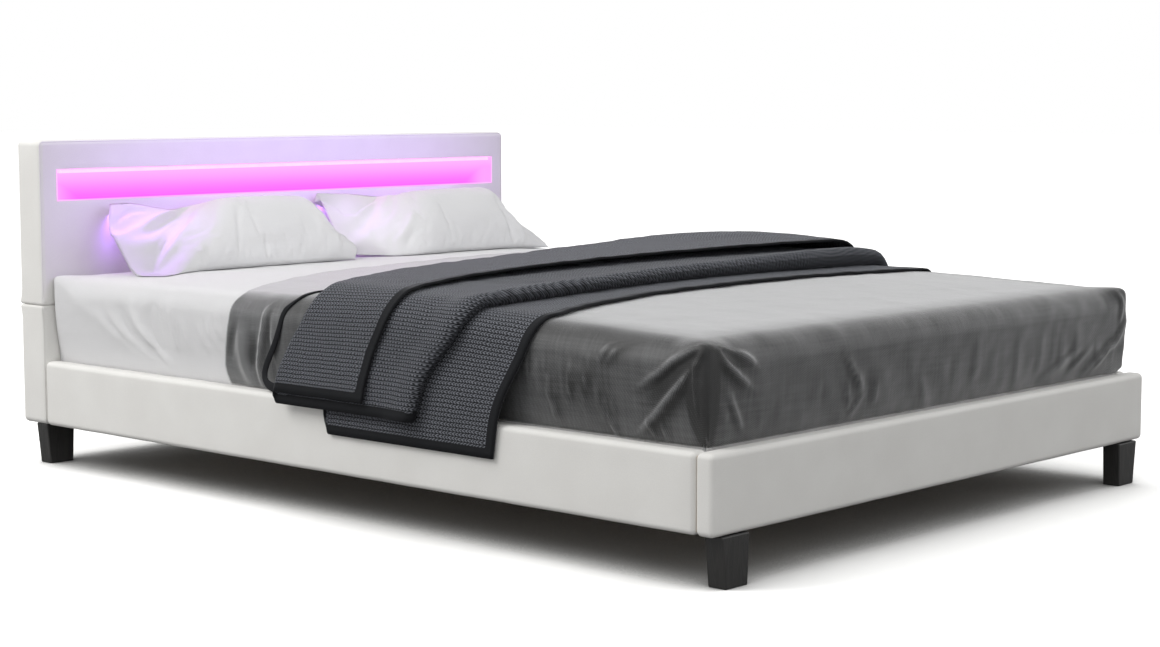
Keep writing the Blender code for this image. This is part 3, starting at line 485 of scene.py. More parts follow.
class Graph:
    """A node tree that is being wired."""

    def __init__(self, tree: Tree) -> None:
        """Keeps the tree to add nodes to."""
        self.tree = tree

    def add(self, kind: str, inputs: Mapping[Any, Any] | None = None, **settings: Any) -> Node:
        """Adds one node.

        Args:
            kind: Blender's name of the node type.
            inputs: Socket name or number, with a value or the output to link to it.
            **settings: Properties of the node.

        Returns:
            The node.
        """
        node = self.tree.nodes.new(kind)
        for key, value in settings.items():
            setattr(node, key, value)
        for key, value in (inputs or {}).items():
            if isinstance(value, Socket):
                self.tree.links.new(value, node.inputs[key])
            else:
                node.inputs[key].default_value = value
        return node

    def math(self, operation: str, *values: Any, clamp: bool = False) -> Socket:
        """One sum on numbers or outputs."""
        settings = {"operation": operation, "use_clamp": clamp}
        return self.add("ShaderNodeMath", dict(enumerate(values)), **settings).outputs[0]

    def noise(self, place: Any, scale: float, detail: float = 2.0, rough: float = 0.5) -> Socket:
        """Soft noise at a scale, from 0 to 1."""
        look = {"Vector": place, "Scale": scale, "Detail": detail, "Roughness": rough}
        return self.add("ShaderNodeTexNoise", look).outputs[0]

    def spread(self, value: Any, low: float, high: float, start: float = 0.0, end: float = 1.0) -> Socket:
        """Maps a range softly onto another."""
        ranges = {"Value": value, "From Min": low, "From Max": high, "To Min": start, "To Max": end}
        return self.add("ShaderNodeMapRange", ranges, interpolation_type="SMOOTHSTEP").outputs[0]

    def mix(self, share: Any, first: Any, second: Any) -> Socket:
        """Colour between two, by a share."""
        return self.add("ShaderNodeMix", {0: share, 6: first, 7: second}, data_type="RGBA").outputs[2]

    def group(self, group: Tree, inputs: Mapping[str, Any]) -> Node:
        """Adds one of the shared effects."""
        return self.add("ShaderNodeGroup", inputs, node_tree=group)

    def times(self, first: Any, second: Any, clamp: bool = False) -> Socket:
        """Product of two numbers or outputs."""
        return self.math("MULTIPLY", first, second, clamp=clamp)

    def blend(self, first: Any, share: Any, second: Any, clamp: bool = False) -> Socket:
        """Product of the first two, with the third added."""
        return self.math("MULTIPLY_ADD", first, share, second, clamp=clamp)

    def axes(self, place: Any) -> bpy.types.NodeOutputs:
        """The three numbers of a place."""
        return self.add("ShaderNodeSeparateXYZ", {0: place}).outputs

    def stretched(self, place: Any, scale: Triple) -> Socket:
        """A place with each axis scaled."""
        return self.add("ShaderNodeMapping", {"Vector": place, "Scale": scale}).outputs[0]

    def mark(self, name: str) -> Socket:
        """One of the numbers that a skin carries at its points."""
        return self.add("ShaderNodeAttribute", attribute_name=name).outputs["Fac"]

    def link(self, *pairs: tuple[Socket, Socket]) -> Tree:
        """Links each output to its input, and gives back the tree."""
        for output, entry in pairs:
            self.tree.links.new(output, entry)
        return self.tree


def new_group(
    name: str, inputs: Mapping[str, float], outputs: Sequence[str]
) -> tuple[Graph, bpy.types.NodeOutputs, bpy.types.NodeInputs]:
    """Starts a shared effect that reads a place, named Vector, and some numbers.

    Args:
        name: Name of the group.
        inputs: Names of the number inputs, with their defaults.
        outputs: Names of the number outputs.

    Returns:
        The graph, what the group is given and what it puts out.
    """
    tree = bpy.data.node_groups.new(name, "ShaderNodeTree")
    tree.interface.new_socket(name="Vector", in_out="INPUT", socket_type="NodeSocketVector")
    for label, value in inputs.items():
        entry = tree.interface.new_socket(name=label, in_out="INPUT", socket_type="NodeSocketFloat")
        entry.default_value = value
    for label in outputs:
        tree.interface.new_socket(name=label, in_out="OUTPUT", socket_type="NodeSocketFloat")
    graph = Graph(tree)
    return graph, graph.add("NodeGroupInput").outputs, graph.add("NodeGroupOutput").inputs


class Effects:
    """Node groups that several finishes share."""

    def __init__(self) -> None:
        """Builds every group once."""
        self.pebble, self.twill, self.knit = self._pebble(), self._twill(), self._knit()
        self.wood, self.mottle = self._wood(), self._mottle()

    def _pebble(self) -> Tree:
        """Leather grain: small pebbles with creases between them, over broad unevenness."""
        graph, given, out = new_group("Leather grain", {"Scale": 700.0}, ("Height", "Tone"))
        place, scale = given["Vector"], given["Scale"]
        look = {"Vector": place, "Scale": scale, "Randomness": 0.9}
        cells = graph.add("ShaderNodeTexVoronoi", look, feature="DISTANCE_TO_EDGE")
        pebbles = graph.spread(cells.outputs[0], 0.0, 0.35)
        fine = graph.noise(place, 210.0, 3.0)
        broad = graph.noise(place, 9.0, 2.0)
        height = graph.math("ADD", graph.times(pebbles, 0.6), graph.times(fine, 0.55))
        tone = graph.math("ADD", graph.times(broad, 0.7), graph.times(pebbles, 0.3))
        return graph.link((height, out[0]), (tone, out[1]))

    def _twill(self) -> Tree:
        """Woven cloth: warp and weft threads that step sideways into diagonal lines."""
        graph, given, out = new_group("Twill weave", {"Pitch": 0.0012, "Step": 0.5}, ("Height", "Thread"))
        apart = graph.axes(given["Vector"])
        across, along = (graph.math("DIVIDE", apart[axis], given["Pitch"]) for axis in (0, 1))
        shifted = graph.math("ADD", along, graph.times(across, given["Step"]))
        warp = graph.math("SINE", graph.times(across, math.tau))
        weft = graph.math("SINE", graph.times(shifted, math.tau))
        height = graph.blend(graph.times(warp, weft), 0.35, 0.5)
        ridge = graph.blend(weft, 0.3, height)
        slubs = []
        for wide, long in ((0.45, 0.02), (0.02, 0.45)):
            flat = {0: graph.times(across, wide), 1: graph.times(along, long)}
            slubs.append(graph.noise(graph.add("ShaderNodeCombineXYZ", flat).outputs[0], 1.0, 3.0, 0.6))
        thread = graph.times(graph.math("ADD", *slubs), 0.5)
        return graph.link((ridge, out[0]), (thread, out[1]))

    def _knit(self) -> Tree:
        """Knitting: ribs along the second axis, each a row of pointed loops."""
        sizes = {"Pitch": 0.009, "Loop": 0.0065, "Slant": 1.1}
        graph, given, out = new_group("Knit ribs", sizes, ("Height", "Gap"))
        place = given["Vector"]
        apart = graph.axes(place)
        across = graph.math("DIVIDE", apart[0], given["Pitch"])
        along = graph.math("DIVIDE", apart[1], given["Loop"])
        across = graph.blend(graph.noise(place, 24.0, 1.0), 0.4, across)
        along = graph.blend(graph.noise(place, 38.0, 2.0), 1.3, along)
        beside = graph.math("ABSOLUTE", graph.math("SUBTRACT", graph.math("FRACT", across), 0.5))
        slanted = graph.blend(beside, given["Slant"], along)
        loop = graph.math("ABSOLUTE", graph.math("SINE", graph.times(slanted, math.pi)))
        rib = graph.spread(beside, 0.33, 0.47, 1.0, 0.0)
        strand = graph.spread(loop, 0.42, 0.98)
        height = graph.times(rib, graph.blend(strand, 0.85, 0.15))
        return graph.link((height, out[0]), (graph.math("SUBTRACT", 1.0, height), out[1]))

    def _wood(self) -> Tree:
        """Planed softwood: growth lines along one axis with fine pores."""
        graph, given, out = new_group("Wood grain", {}, ("Lines", "Pores"))
        place = given["Vector"]
        bend = graph.add("ShaderNodeTexNoise", {"Vector": place, "Scale": 2.5, "Detail": 3.0})
        moved = graph.add("ShaderNodeVectorMath", {0: place, 1: bend.outputs["Color"]}, operation="ADD")
        rings = graph.add(
            "ShaderNodeTexWave", {"Vector": moved.outputs[0], "Scale": 7.0, "Distortion": 2.2, "Detail": 3.0},
            wave_type="RINGS",
        )
        pores = graph.noise(place, 320.0, 2.0)
        return graph.link((rings.outputs["Fac"], out[0]), (pores, out[1]))

    def _mottle(self) -> Tree:
        """Slow colour drift with a little fine speckle."""
        graph, given, out = new_group("Mottle", {"Scale": 12.0}, ("Share",))
        place = given["Vector"]
        slow = graph.add("ShaderNodeTexNoise", {"Vector": place, "Scale": given["Scale"], "Detail": 3.0})
        fine = graph.noise(place, 260.0, 1.0)
        total = graph.blend(fine, 0.25, graph.times(slow.outputs[0], 0.75))
        return graph.link((total, out[0]))


@dataclass(frozen=True)
class Finish:
    """Values of a material's shader that are the same all over it."""

    name: str
    dark: Triple
    light: Triple
    rough: float = 0.6
    rough_swing: float = 0.1
    metallic: float = 0.0
    specular: float = 0.5
    sheen: float = 0.0
    sheen_rough: float = 0.4
    sheen_tint: Triple = (1.0, 1.0, 1.0)
    coat: float = 0.0
    coat_rough: float = 0.2
    bump: float = 0.0002
    ior: float = 1.5
    # Strength of a sheen painted into the base colour where the surface is seen at a flat angle.
    glance: float = 0.0


class MaterialMaker:
    """Turns finishes into node materials."""

    def __init__(self, effects: Effects) -> None:
        """Keeps the shared effects."""
        self.effects = effects

    def start(self, finish: Finish) -> tuple[Material, Graph, Node, Socket]:
        """Starts a material.

        Args:
            finish: Its constant values.

        Returns:
            The material, its graph, its shader and the Object coordinates.
        """
        material = bpy.data.materials.new(finish.name)
        material.use_nodes = True
        graph = Graph(material.node_tree)
        shader = next(node for node in material.node_tree.nodes if node.type == "BSDF_PRINCIPLED")
        constants = {
            "Base Color": (*finish.light, 1.0), "Roughness": finish.rough, "Metallic": finish.metallic,
            "Specular IOR Level": finish.specular, "Sheen Weight": finish.sheen,
            "Sheen Roughness": finish.sheen_rough, "Sheen Tint": (*finish.sheen_tint, 1.0),
            "Coat Weight": finish.coat, "Coat Roughness": finish.coat_rough, "IOR": finish.ior,
        }
        for label, value in constants.items():
            shader.inputs[label].default_value = value
        return material, graph, shader, graph.add("ShaderNodeTexCoord").outputs["Object"]

    def dress(self, graph: Graph, shader: Node, finish: Finish, tone: Any, height: Any) -> None:
        """Links colour, roughness and bump from one tone and one height.

        Args:
            graph: The material's graph.
            shader: Its shader.
            finish: Its values.
            tone: Share from the dark to the light colour.
            height: Height of the surface, from 0 to 1.
        """
        colour = graph.mix(tone, (*finish.dark, 1.0), (*finish.light, 1.0))
        rough = graph.blend(tone, -finish.rough_swing, finish.rough + finish.rough_swing / 2)
        bump = graph.add("ShaderNodeBump", {"Strength": 1.0, "Distance": finish.bump, "Height": height})
        for value, entry in ((colour, "Base Color"), (rough, "Roughness"), (bump.outputs[0], "Normal")):
            graph.link((value, shader.inputs[entry]))

    def leather(self, finish: Finish) -> Material:
        """Coated leather with a pebble grain."""
        material, graph, shader, place = self.start(finish)
        grain = graph.group(self.effects.pebble, {"Vector": place, "Scale": 620.0})
        tone = graph.spread(grain.outputs["Tone"], 0.2, 0.8)
        self.dress(graph, shader, finish, tone, grain.outputs["Height"])
        return material

    def woven(self, finish: Finish, pitch: float, step: float) -> Material:
        """Woven cloth with its threads along the cloth coordinates.

        Args:
            finish: Its values.
            pitch: Distance between threads, in metres.
            step: How far each thread's crossing moves to the next, in threads.

        Returns:
            The material.
        """
        material, graph, shader, place = self.start(finish)
        cloth = graph.add("ShaderNodeUVMap", uv_map="cloth").outputs[0]
        weave = graph.group(self.effects.twill, {"Vector": cloth, "Pitch": pitch, "Step": step})
        drift = graph.group(self.effects.mottle, {"Vector": place, "Scale": 5.0})
        # Painted light: the fold mark lightens ridges and darkens their flanks and valleys in the colour.
        fold = graph.mark("fold")
        slub = graph.times(graph.math("SUBTRACT", weave.outputs["Thread"], 0.5), 0.9)
        tone = graph.blend(weave.outputs["Height"], 0.5, graph.times(drift.outputs[0], 0.4))
        tone = graph.math("ADD", tone, slub)
        tone = graph.blend(fold, 0.62, tone, clamp=True)
        height = graph.blend(weave.outputs["Thread"], 1.5, weave.outputs["Height"])
        self.dress(graph, shader, finish, tone, height)
        # Painted sheen: the base colour is paler where the cloth is seen at a flat angle.
        if finish.glance > 0:
            self.glance(graph, shader, finish.glance, 0.38, 0.93, fold)
        return material

    def glance(
        self, graph: Graph, shader: Node, strength: float, start: float, end: float, fold: Any = 0.0
    ) -> None:
        """Paints a sheen into the base colour, paler where the surface is seen at a flat angle.

        Args:
            graph: The material's graph.
            shader: Its shader, with its colour already linked.
            strength: How strong the painted sheen is, from 0 to 1.
            start: Facing value where it begins.
            end: Facing value where it is full.
            fold: Painted fold tone, which dims the painted sheen where it is below zero.
        """
        facing = graph.add("ShaderNodeLayerWeight", {"Blend": 0.5}).outputs["Facing"]
        dimmed = graph.blend(graph.math("MINIMUM", fold, 0.0), 0.8, 1.0)
        share = graph.times(graph.spread(facing, start, end, 0.0, strength), dimmed, clamp=True)
        below = shader.inputs["Base Color"].links[0].from_socket
        graph.link((graph.mix(share, below, (0.98, 0.985, 1.0, 1.0)), shader.inputs["Base Color"]))

    def wood(self, finish: Finish) -> Material:
        """Sawn or planed wood."""
        material, graph, shader, place = self.start(finish)
        grain = graph.group(self.effects.wood, {"Vector": graph.stretched(place, (0.35, 1.0, 1.6))})
        tone = graph.blend(grain.outputs["Lines"], 0.6, graph.times(grain.outputs["Pores"], 0.4))
        self.dress(graph, shader, finish, tone, grain.outputs["Pores"])
        return material

    def plain(self, finish: Finish, scale: float, stretch: Triple = (1.0, 1.0, 1.0)) -> Material:
        """Moulded plastic, paint or metal: slow drift and a fine, even or brushed texture."""
        material, graph, shader, place = self.start(finish)
        stretched = graph.stretched(place, stretch)
        drift = graph.group(self.effects.mottle, {"Vector": stretched, "Scale": scale})
        tone = graph.spread(drift.outputs[0], 0.3, 0.7)
        self.dress(graph, shader, finish, tone, graph.noise(stretched, scale * 22.0, 2.0))
        return material


@dataclass
class Materials:
    """Every finish of the bed, by the record's slot."""

    maker: MaterialMaker
    niche: tuple[Triple, Triple]
    by_slot: dict[str, Material] = field(default_factory=dict)

    def build(self) -> None:
        """Makes all materials."""
        make = self.maker
        slots = self.by_slot
        slots["leather"] = make.leather(Finish(
            "White leather", (0.785, 0.775, 0.75), (0.845, 0.84, 0.815), rough=0.5, rough_swing=0.08,
            bump=0.00012, specular=0.12,
        ))
        slots["board"] = make.wood(Finish(
            "Particle board", (0.38, 0.26, 0.15), (0.62, 0.47, 0.31), 0.8, bump=0.0003
        ))
        slots["backing"] = self._backing()
        slots["steel"] = make.plain(Finish(
            "Zinc plated steel", (0.42, 0.43, 0.45), (0.6, 0.61, 0.63), 0.35, 0.15, metallic=1.0, bump=0.00005
        ), 30.0, (1.0, 1.0, 6.0))
        slots["black_block"] = self._black_block()
        slots["pine"] = make.wood(Finish("Planed pine", (0.62, 0.42, 0.22), (0.82, 0.66, 0.44), 0.6))
        slots["white_plastic"] = self._tray()
        slots["diffuser"] = self._glow("Light bar", (1.0, 0.5, 0.97), 0.9)
        slots["led"] = self._glow("Light strip", (1.0, 0.3, 0.95), 3.0)
        slots["dark_plastic"] = make.plain(Finish(
            "Dark plastic", (0.025, 0.025, 0.028), (0.05, 0.05, 0.055), 0.55
        ), 14.0)
        slots["white_cotton"] = make.woven(Finish(
            "White cotton", (0.87, 0.87, 0.885), (0.955, 0.955, 0.965), rough=0.85, bump=0.0006, sheen=0.12,
            specular=0.2,
        ), 0.0011, 0.0)
        # The satin's pale top is a sheen painted into its base colour where it is seen at a flat angle.
        slots["satin"] = make.woven(Finish(
            "Grey satin", (0.004, 0.0042, 0.0045), (0.165, 0.168, 0.172), rough=0.46, specular=0.6,
            bump=0.0005, sheen=0.4, sheen_rough=0.28, ior=1.6, glance=0.44,
        ), 0.0037, 0.5)
        slots["knit"] = self._knit()

    def dress_nodes(self, frame: Mapping[str, Any]) -> None:
        """Gives every CAD node of the loaded frame the finish of its slot."""
        slots = {part["node"]: part["material_slot"] for part in frame["record"]["subparts"]}
        for name, node in frame["nodes"].items():
            node.data.materials.clear()
            node.data.materials.append(self.by_slot[slots[name]])
        log.info("dressed %d CAD nodes", len(frame["nodes"]))

    def _backing(self) -> Material:
        """Black non-woven backing with dimples pressed in a grid."""
        dark, light = (0.012, 0.012, 0.013), (0.05, 0.05, 0.054)
        finish = Finish("Black backing", dark, light, 0.9, bump=0.0005, sheen=0.2)
        material, graph, shader, place = self.maker.start(finish)
        apart, spacing = graph.axes(place), 0.0028
        dots = [graph.math("SINE", graph.times(apart[axis], math.tau / spacing)) for axis in (0, 2)]
        dimple = graph.spread(graph.times(*dots), 0.1, 0.9)
        fibre = graph.noise(place, 420.0, 4.0)
        tone = graph.blend(dimple, -0.35, fibre)
        self.maker.dress(graph, shader, finish, tone, graph.math("SUBTRACT", fibre, dimple))
        return material

    def _black_block(self) -> Material:
        """Black lacquered wood with its grain showing and edges worn lighter."""
        dark, light = (0.012, 0.012, 0.012), (0.03, 0.029, 0.028)
        finish = Finish("Black lacquered wood", dark, light, 0.45, bump=0.00035, coat=0.2)
        material, graph, shader, place = self.maker.start(finish)
        grain = graph.group(self.maker.effects.wood, {"Vector": graph.stretched(place, (6.0, 6.0, 0.7))})
        worn = graph.spread(graph.add("ShaderNodeNewGeometry").outputs["Pointiness"], 0.52, 0.6)
        tone = graph.blend(grain.outputs["Lines"], 0.5, graph.times(worn, 0.6), clamp=True)
        self.maker.dress(graph, shader, finish, tone, grain.outputs["Pores"])
        return material

    def _tray(self) -> Material:
        """White niche lining with the light bar's pink glow painted into it: a pink base colour and an
        emission that is paler towards the top and the ends.
        """
        # Painted light: the white lining's base colour is tinted pink by the glow.
        finish = Finish("Lining with painted glow", (0.3, 0.05, 0.28), (0.36, 0.07, 0.34), 0.35, bump=0.00008)
        material, graph, shader, place = self.maker.start(finish)
        self.maker.dress(graph, shader, finish, graph.noise(place, 8.0), graph.noise(place, 160.0))
        apart = graph.axes(place)
        low, high = self.niche
        # Painted glow: emission that is paler towards the top of the niche and towards its ends.
        upper = graph.spread(apart[2], low[2], high[2])
        end = graph.spread(graph.math("ABSOLUTE", apart[0]), high[0] - 0.09, high[0])
        painted_glow_share = graph.math("MAXIMUM", upper, graph.times(end, 0.7))
        glow = graph.mix(painted_glow_share, (0.93, 0.13, 0.9, 1.0), (1.0, 0.51, 0.96, 1.0))
        # Painted highlight: a paler glow in a thin line along the front rim.
        rim = graph.spread(apart[1], low[1] + 0.0004, low[1] + 0.002, 1.0, 0.0)
        shader.inputs["Emission Strength"].default_value = 0.85
        graph.link((graph.mix(rim, glow, (1.0, 0.62, 0.98, 1.0)), shader.inputs["Emission Color"]))
        return material

    def _glow(self, name: str, colour: Triple, strength: float) -> Material:
        """Frosted plastic that gives light, a little uneven along its length."""
        finish = Finish(name, (0.8, 0.4, 0.78), (0.95, 0.6, 0.92), 0.4, bump=0.00008)
        material, graph, shader, place = self.maker.start(finish)
        tone = graph.noise(place, 30.0)
        self.maker.dress(graph, shader, finish, tone, graph.noise(place, 300.0))
        shader.inputs["Emission Strength"].default_value = strength
        dim = tuple(channel * 0.9 for channel in colour)
        graph.link((graph.mix(tone, (*dim, 1.0), (*colour, 1.0)), shader.inputs["Emission Color"]))
        return material

    def _knit(self) -> Material:
        """Slate knitting with a flat dark border along the blanket's edges."""
        finish = Finish(
            "Slate knit", (0.002, 0.0022, 0.0026), (0.19, 0.199, 0.225), rough=0.75, bump=0.0024,
            sheen=0.12, sheen_rough=0.28, sheen_tint=(0.8, 0.84, 0.95), specular=0.15,
        )
        material, graph, shader, place = self.maker.start(finish)
        cloth = graph.add("ShaderNodeUVMap", uv_map="cloth").outputs[0]
        sizes = {"Pitch": 0.0092, "Loop": 0.009, "Slant": 1.7}
        ribs = graph.group(self.maker.effects.knit, {"Vector": cloth, **sizes}).outputs
        # The edge mark gives the real dark border, and also painted shade under the roll and behind its
        # crest.
        inner = graph.spread(graph.mark("edge"), 0.0195, 0.0215)
        yarn, fuzz = graph.noise(place, 900.0, 2.0), graph.noise(place, 60.0, 2.0)
        raised = graph.times(graph.math("SUBTRACT", 1.0, ribs["Gap"]), 0.95)
        tone, height = (
            graph.add("ShaderNodeMix", {0: inner, 2: graph.times(yarn, border), 3: knitted}).outputs[0]
            for border, knitted in (
                (0.12, graph.blend(fuzz, 0.1, raised)), (0.08, graph.blend(yarn, 0.12, ribs["Height"])),
            )
        )
        self.maker.dress(graph, shader, finish, tone, height)
        # Painted sheen: the knit is paler where it is seen at a flat angle.
        self.maker.glance(graph, shader, 0.03, 0.6, 0.93)
        return material


# Studio


def aim(place: Triple, target: Triple, up: str = "Y") -> Any:
    """The turn of a lamp at a place that faces a target."""
    return (Vector(target) - Vector(place)).to_track_quat("-Z", up).to_euler()


@dataclass(frozen=True)
class Lamp:
    """A lamp that the camera doesn't see. Unturned it faces down, and with no group it lights all."""

    name: str
    place: Triple
    turn: Any
    power: float
    colour: Triple
    lit: bpy.types.Collection | None = None
    glossy: bool = False

    def area(self, width: float, height: float, spread: float = math.pi) -> None:
        """Makes it a rectangle of light."""
        self._make("AREA", {"shape": "RECTANGLE", "size": width, "size_y": height, "spread": spread})

    def spot(self, cone: float) -> None:
        """Makes it a spot with a soft edge."""
        self._make("SPOT", {"spot_size": cone, "spot_blend": 0.7, "shadow_soft_size": 0.12})

    def _make(self, kind: str, settings: Mapping[str, Any]) -> None:
        """Makes the lamp.

        Args:
            kind: Blender's name of its form.
            settings: What that form needs, such as its size.
        """
        data = bpy.data.lights.new(self.name, kind)
        for key, value in {**settings, "energy": self.power, "color": self.colour}.items():
            setattr(data, key, value)
        made = linked(self.name, data)
        made.location, made.rotation_euler = self.place, self.turn
        made.visible_camera, made.visible_glossy = False, self.glossy
        if self.lit is not None:
            made.light_linking.receiver_collection = self.lit


@dataclass
class Studio:
    """Camera at the photograph's place, a white floor and soft light."""

    place: Triple = (-3.87215, -3.55738, 0.89982)
    forward: Triple = (0.73615, 0.66891, -0.10314)
    lens: float = 68.89
    sky: float = 0.84
    floor_gain: float = 1.6
    floor_bounce: float = 0.25
    floor_reach: float = 40.0

    def build(self) -> None:
        """Makes all of it."""
        bpy.context.scene.view_settings.view_transform = "Standard"
        self._camera()
        self._world()
        self._floor()
        place = (-3.4, 1.6, 3.3)
        turn = aim(place, (0.0, 0.1, 0.4))
        Lamp("Key light", place, turn, 84.0, (1.0, 0.99, 0.975), glossy=True).area(2.4, 2.4)

    def _camera(self) -> None:
        """Camera with the solved place and view."""
        data = bpy.data.cameras.new("Camera")
        data.lens = self.lens
        data.sensor_width = 36.0
        camera = linked("Camera", data)
        forward = Vector(self.forward).normalized()
        right = forward.cross(Vector((0, 0, 1))).normalized()
        upward = right.cross(forward)
        turn = Matrix((right, upward, -forward)).transposed().to_4x4()
        camera.matrix_world = Matrix.Translation(Vector(self.place)) @ turn
        bpy.context.scene.camera = camera

    def _world(self) -> None:
        """Even sky: white for the camera and for reflections, the chosen level for light."""
        world = bpy.data.worlds.new("Studio")
        bpy.context.scene.world = world
        world.use_nodes = True
        graph = Graph(world.node_tree)
        world.node_tree.nodes.clear()
        path = graph.add("ShaderNodeLightPath")
        seen = graph.math("MAXIMUM", path.outputs["Is Camera Ray"], path.outputs["Is Transmission Ray"])
        seen = graph.math("MAXIMUM", seen, path.outputs["Is Glossy Ray"])
        level = graph.mix(seen, (self.sky, self.sky, self.sky, 1.0), (1.0, 1.0, 1.0, 1.0))
        background = graph.add("ShaderNodeBackground", {"Color": level, "Strength": 1.0})
        graph.add("ShaderNodeOutputWorld", {"Surface": background.outputs[0]})

    def _floor(self) -> None:
        """Wide white floor that keeps the bed's shadow, with painted shadow added near the bed by an
        ambient-occlusion node in its colour.
        """
        mesh = bpy.data.meshes.new("Floor")
        reach = self.floor_reach
        corners = [(-reach, -reach, 0), (reach, -reach, 0), (reach, reach, 0), (-reach, reach, 0)]
        mesh.from_pydata(corners, [], [(0, 1, 2, 3)])
        floor = linked("Floor", mesh)
        material = bpy.data.materials.new("Floor paint")
        material.use_nodes = True
        graph = Graph(material.node_tree)
        material.node_tree.nodes.clear()
        seen = graph.add("ShaderNodeLightPath").outputs["Is Camera Ray"]
        gain, bounce = self.floor_gain, self.floor_bounce
        # Painted shadow: the floor's colour for the camera darkens where the ambient-occlusion node finds the
        # bed close by.
        occlusion_for_painted_shadow = graph.add("ShaderNodeAmbientOcclusion", {"Distance": 0.35}, samples=8).outputs["AO"]
        share = graph.spread(occlusion_for_painted_shadow, 0.28, 0.86, 0.26, 1.0)
        near = graph.times(share, gain)
        blue = graph.times(near, 0.99)
        shaded = graph.add("ShaderNodeCombineColor", {0: near, 1: near, 2: blue}).outputs[0]
        colour = graph.mix(seen, (bounce, bounce, bounce, 1.0), shaded)
        paint = graph.add("ShaderNodeBsdfDiffuse", {"Color": colour})
        graph.add("ShaderNodeOutputMaterial", {"Surface": paint.outputs[0]})
        mesh.materials.append(material)


# Leather frame


@dataclass
class PaddedBoxes:
    """Leather boxes of the headboard and rails, each round its own board."""

    leather: Material
    pieces: list[Piece] = field(default_factory=list)

    def build(self) -> None:
        """Makes the two headboard sections and the three rails."""
        self._headboard("upper", Side.BOTTOM)
        self._headboard("lower", Side.TOP)
        self._rail("side_rail_left", Side.RIGHT)
        self._rail("side_rail_right", Side.LEFT)
        self._rail("foot_rail", Side.HEAD)

    def _headboard(self, section: str, seam: Side) -> None:
        """One section, with the niche's opening in the upper one.

        Args:
            section: "upper" or "lower".
            seam: The side that faces the other section.
        """
        node = f"headboard_{section}_cover"
        low, high = (list(corner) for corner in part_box(node))
        wall, full, tight = 0.015, 0.0145, 0.006
        seam_height = high[2] if seam is Side.TOP else low[2]

        def radius(places: Array) -> Array:
            """Radius of the edges, tight at the seam and full away from it."""
            return tight + (full - tight) * smooth(0.004, 0.03, np.abs(places[:, 2] - seam_height))

        back_low = (low[0] + wall, high[1], low[2] + wall)
        back_high = (high[0] - wall, high[1], high[2] - wall)
        pockets = {Side.HEAD: (back_low, back_high)}
        extra_x, extra_z = [back_low[0], back_high[0]], [back_low[2], back_high[2]]
        lip, play, niche_depth, back_depth = 0.0015, 0.0002, 0.0325, 0.0075
        if section == "upper":
            tray_low, tray_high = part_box("niche_tray")
            open_low = (tray_low[0] - play, low[1], tray_low[2] - play)
            open_high = (tray_high[0] + play, low[1], tray_high[2] + play)
            lip_low = tuple(value - lip for value in open_low)
            lip_high = tuple(value + lip for value in open_high)
            pockets[Side.FOOT] = (lip_low, lip_high)
            extra_x += [lip_low[0], lip_high[0]]
            extra_z += [lip_low[2], lip_high[2]]
        grid = (
            soft_lines(low[0], high[0], full, 0.03, extra_x),
            soft_lines(low[1], high[1], full, 0.02),
            soft_lines(low[2], high[2], full, 0.02, extra_z),
        )
        skin = SkinBox(grid, list(Side), radius).build(pockets)
        x, y, z = skin.points.T
        edge = np.minimum.reduce([x - low[0], high[0] - x, z - low[2], high[2] - z])
        # The front is drawn in a little along its edges.
        front, drawn, band = y < low[1] + 0.004, 0.0016, 0.06
        y += np.where(front, drawn * (1 - smooth(0.0, band, edge)), 0.0)
        if section == "upper":
            add_pocket(skin, Side.FOOT, open_low, open_high, niche_depth, lip)
        add_pocket(skin, Side.HEAD, back_low, back_high, back_depth, 0.0)
        self._finish(skin, node)

    def _rail(self, name: str, inner: Side) -> None:
        """One rail, open towards the mattress for its board.

        Args:
            name: Name of the rail.
            inner: Its open side.
        """
        node = f"{name}_cover"
        low, high = (list(corner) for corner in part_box(node))
        wall, full, depth = 0.0083, 0.0125, 0.005
        axis, sign = inner.value
        open_low = [value + wall for value in low]
        open_high = [value - wall for value in high]
        open_low[axis] = open_high[axis] = high[axis] if sign > 0 else low[axis]
        steps = [0.03 if high[a] - low[a] > 0.5 else 0.012 for a in range(3)]
        extra = [[] if a == axis else [open_low[a], open_high[a]] for a in range(3)]
        grid = tuple(soft_lines(low[a], high[a], full, steps[a], extra[a]) for a in range(3))
        skin = SkinBox(grid, list(Side), lambda places: np.full(len(places), full)).build(
            {inner: (tuple(open_low), tuple(open_high))}
        )
        add_pocket(skin, inner, tuple(open_low), tuple(open_high), depth, 0.0)
        self._finish(skin, node)

    def _finish(self, skin: Skin, node: str) -> None:
        """Adds the leather's slight unevenness and puts the piece in the node's place."""
        skin.push(0.00035 * ripple(skin.points, 0.16, len(self.pieces) + 3) - 0.0003)
        piece = skin.to_object(f"{node}_leather", self.leather, "frame", "leather")
        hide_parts(node)
        self.pieces.append(piece)


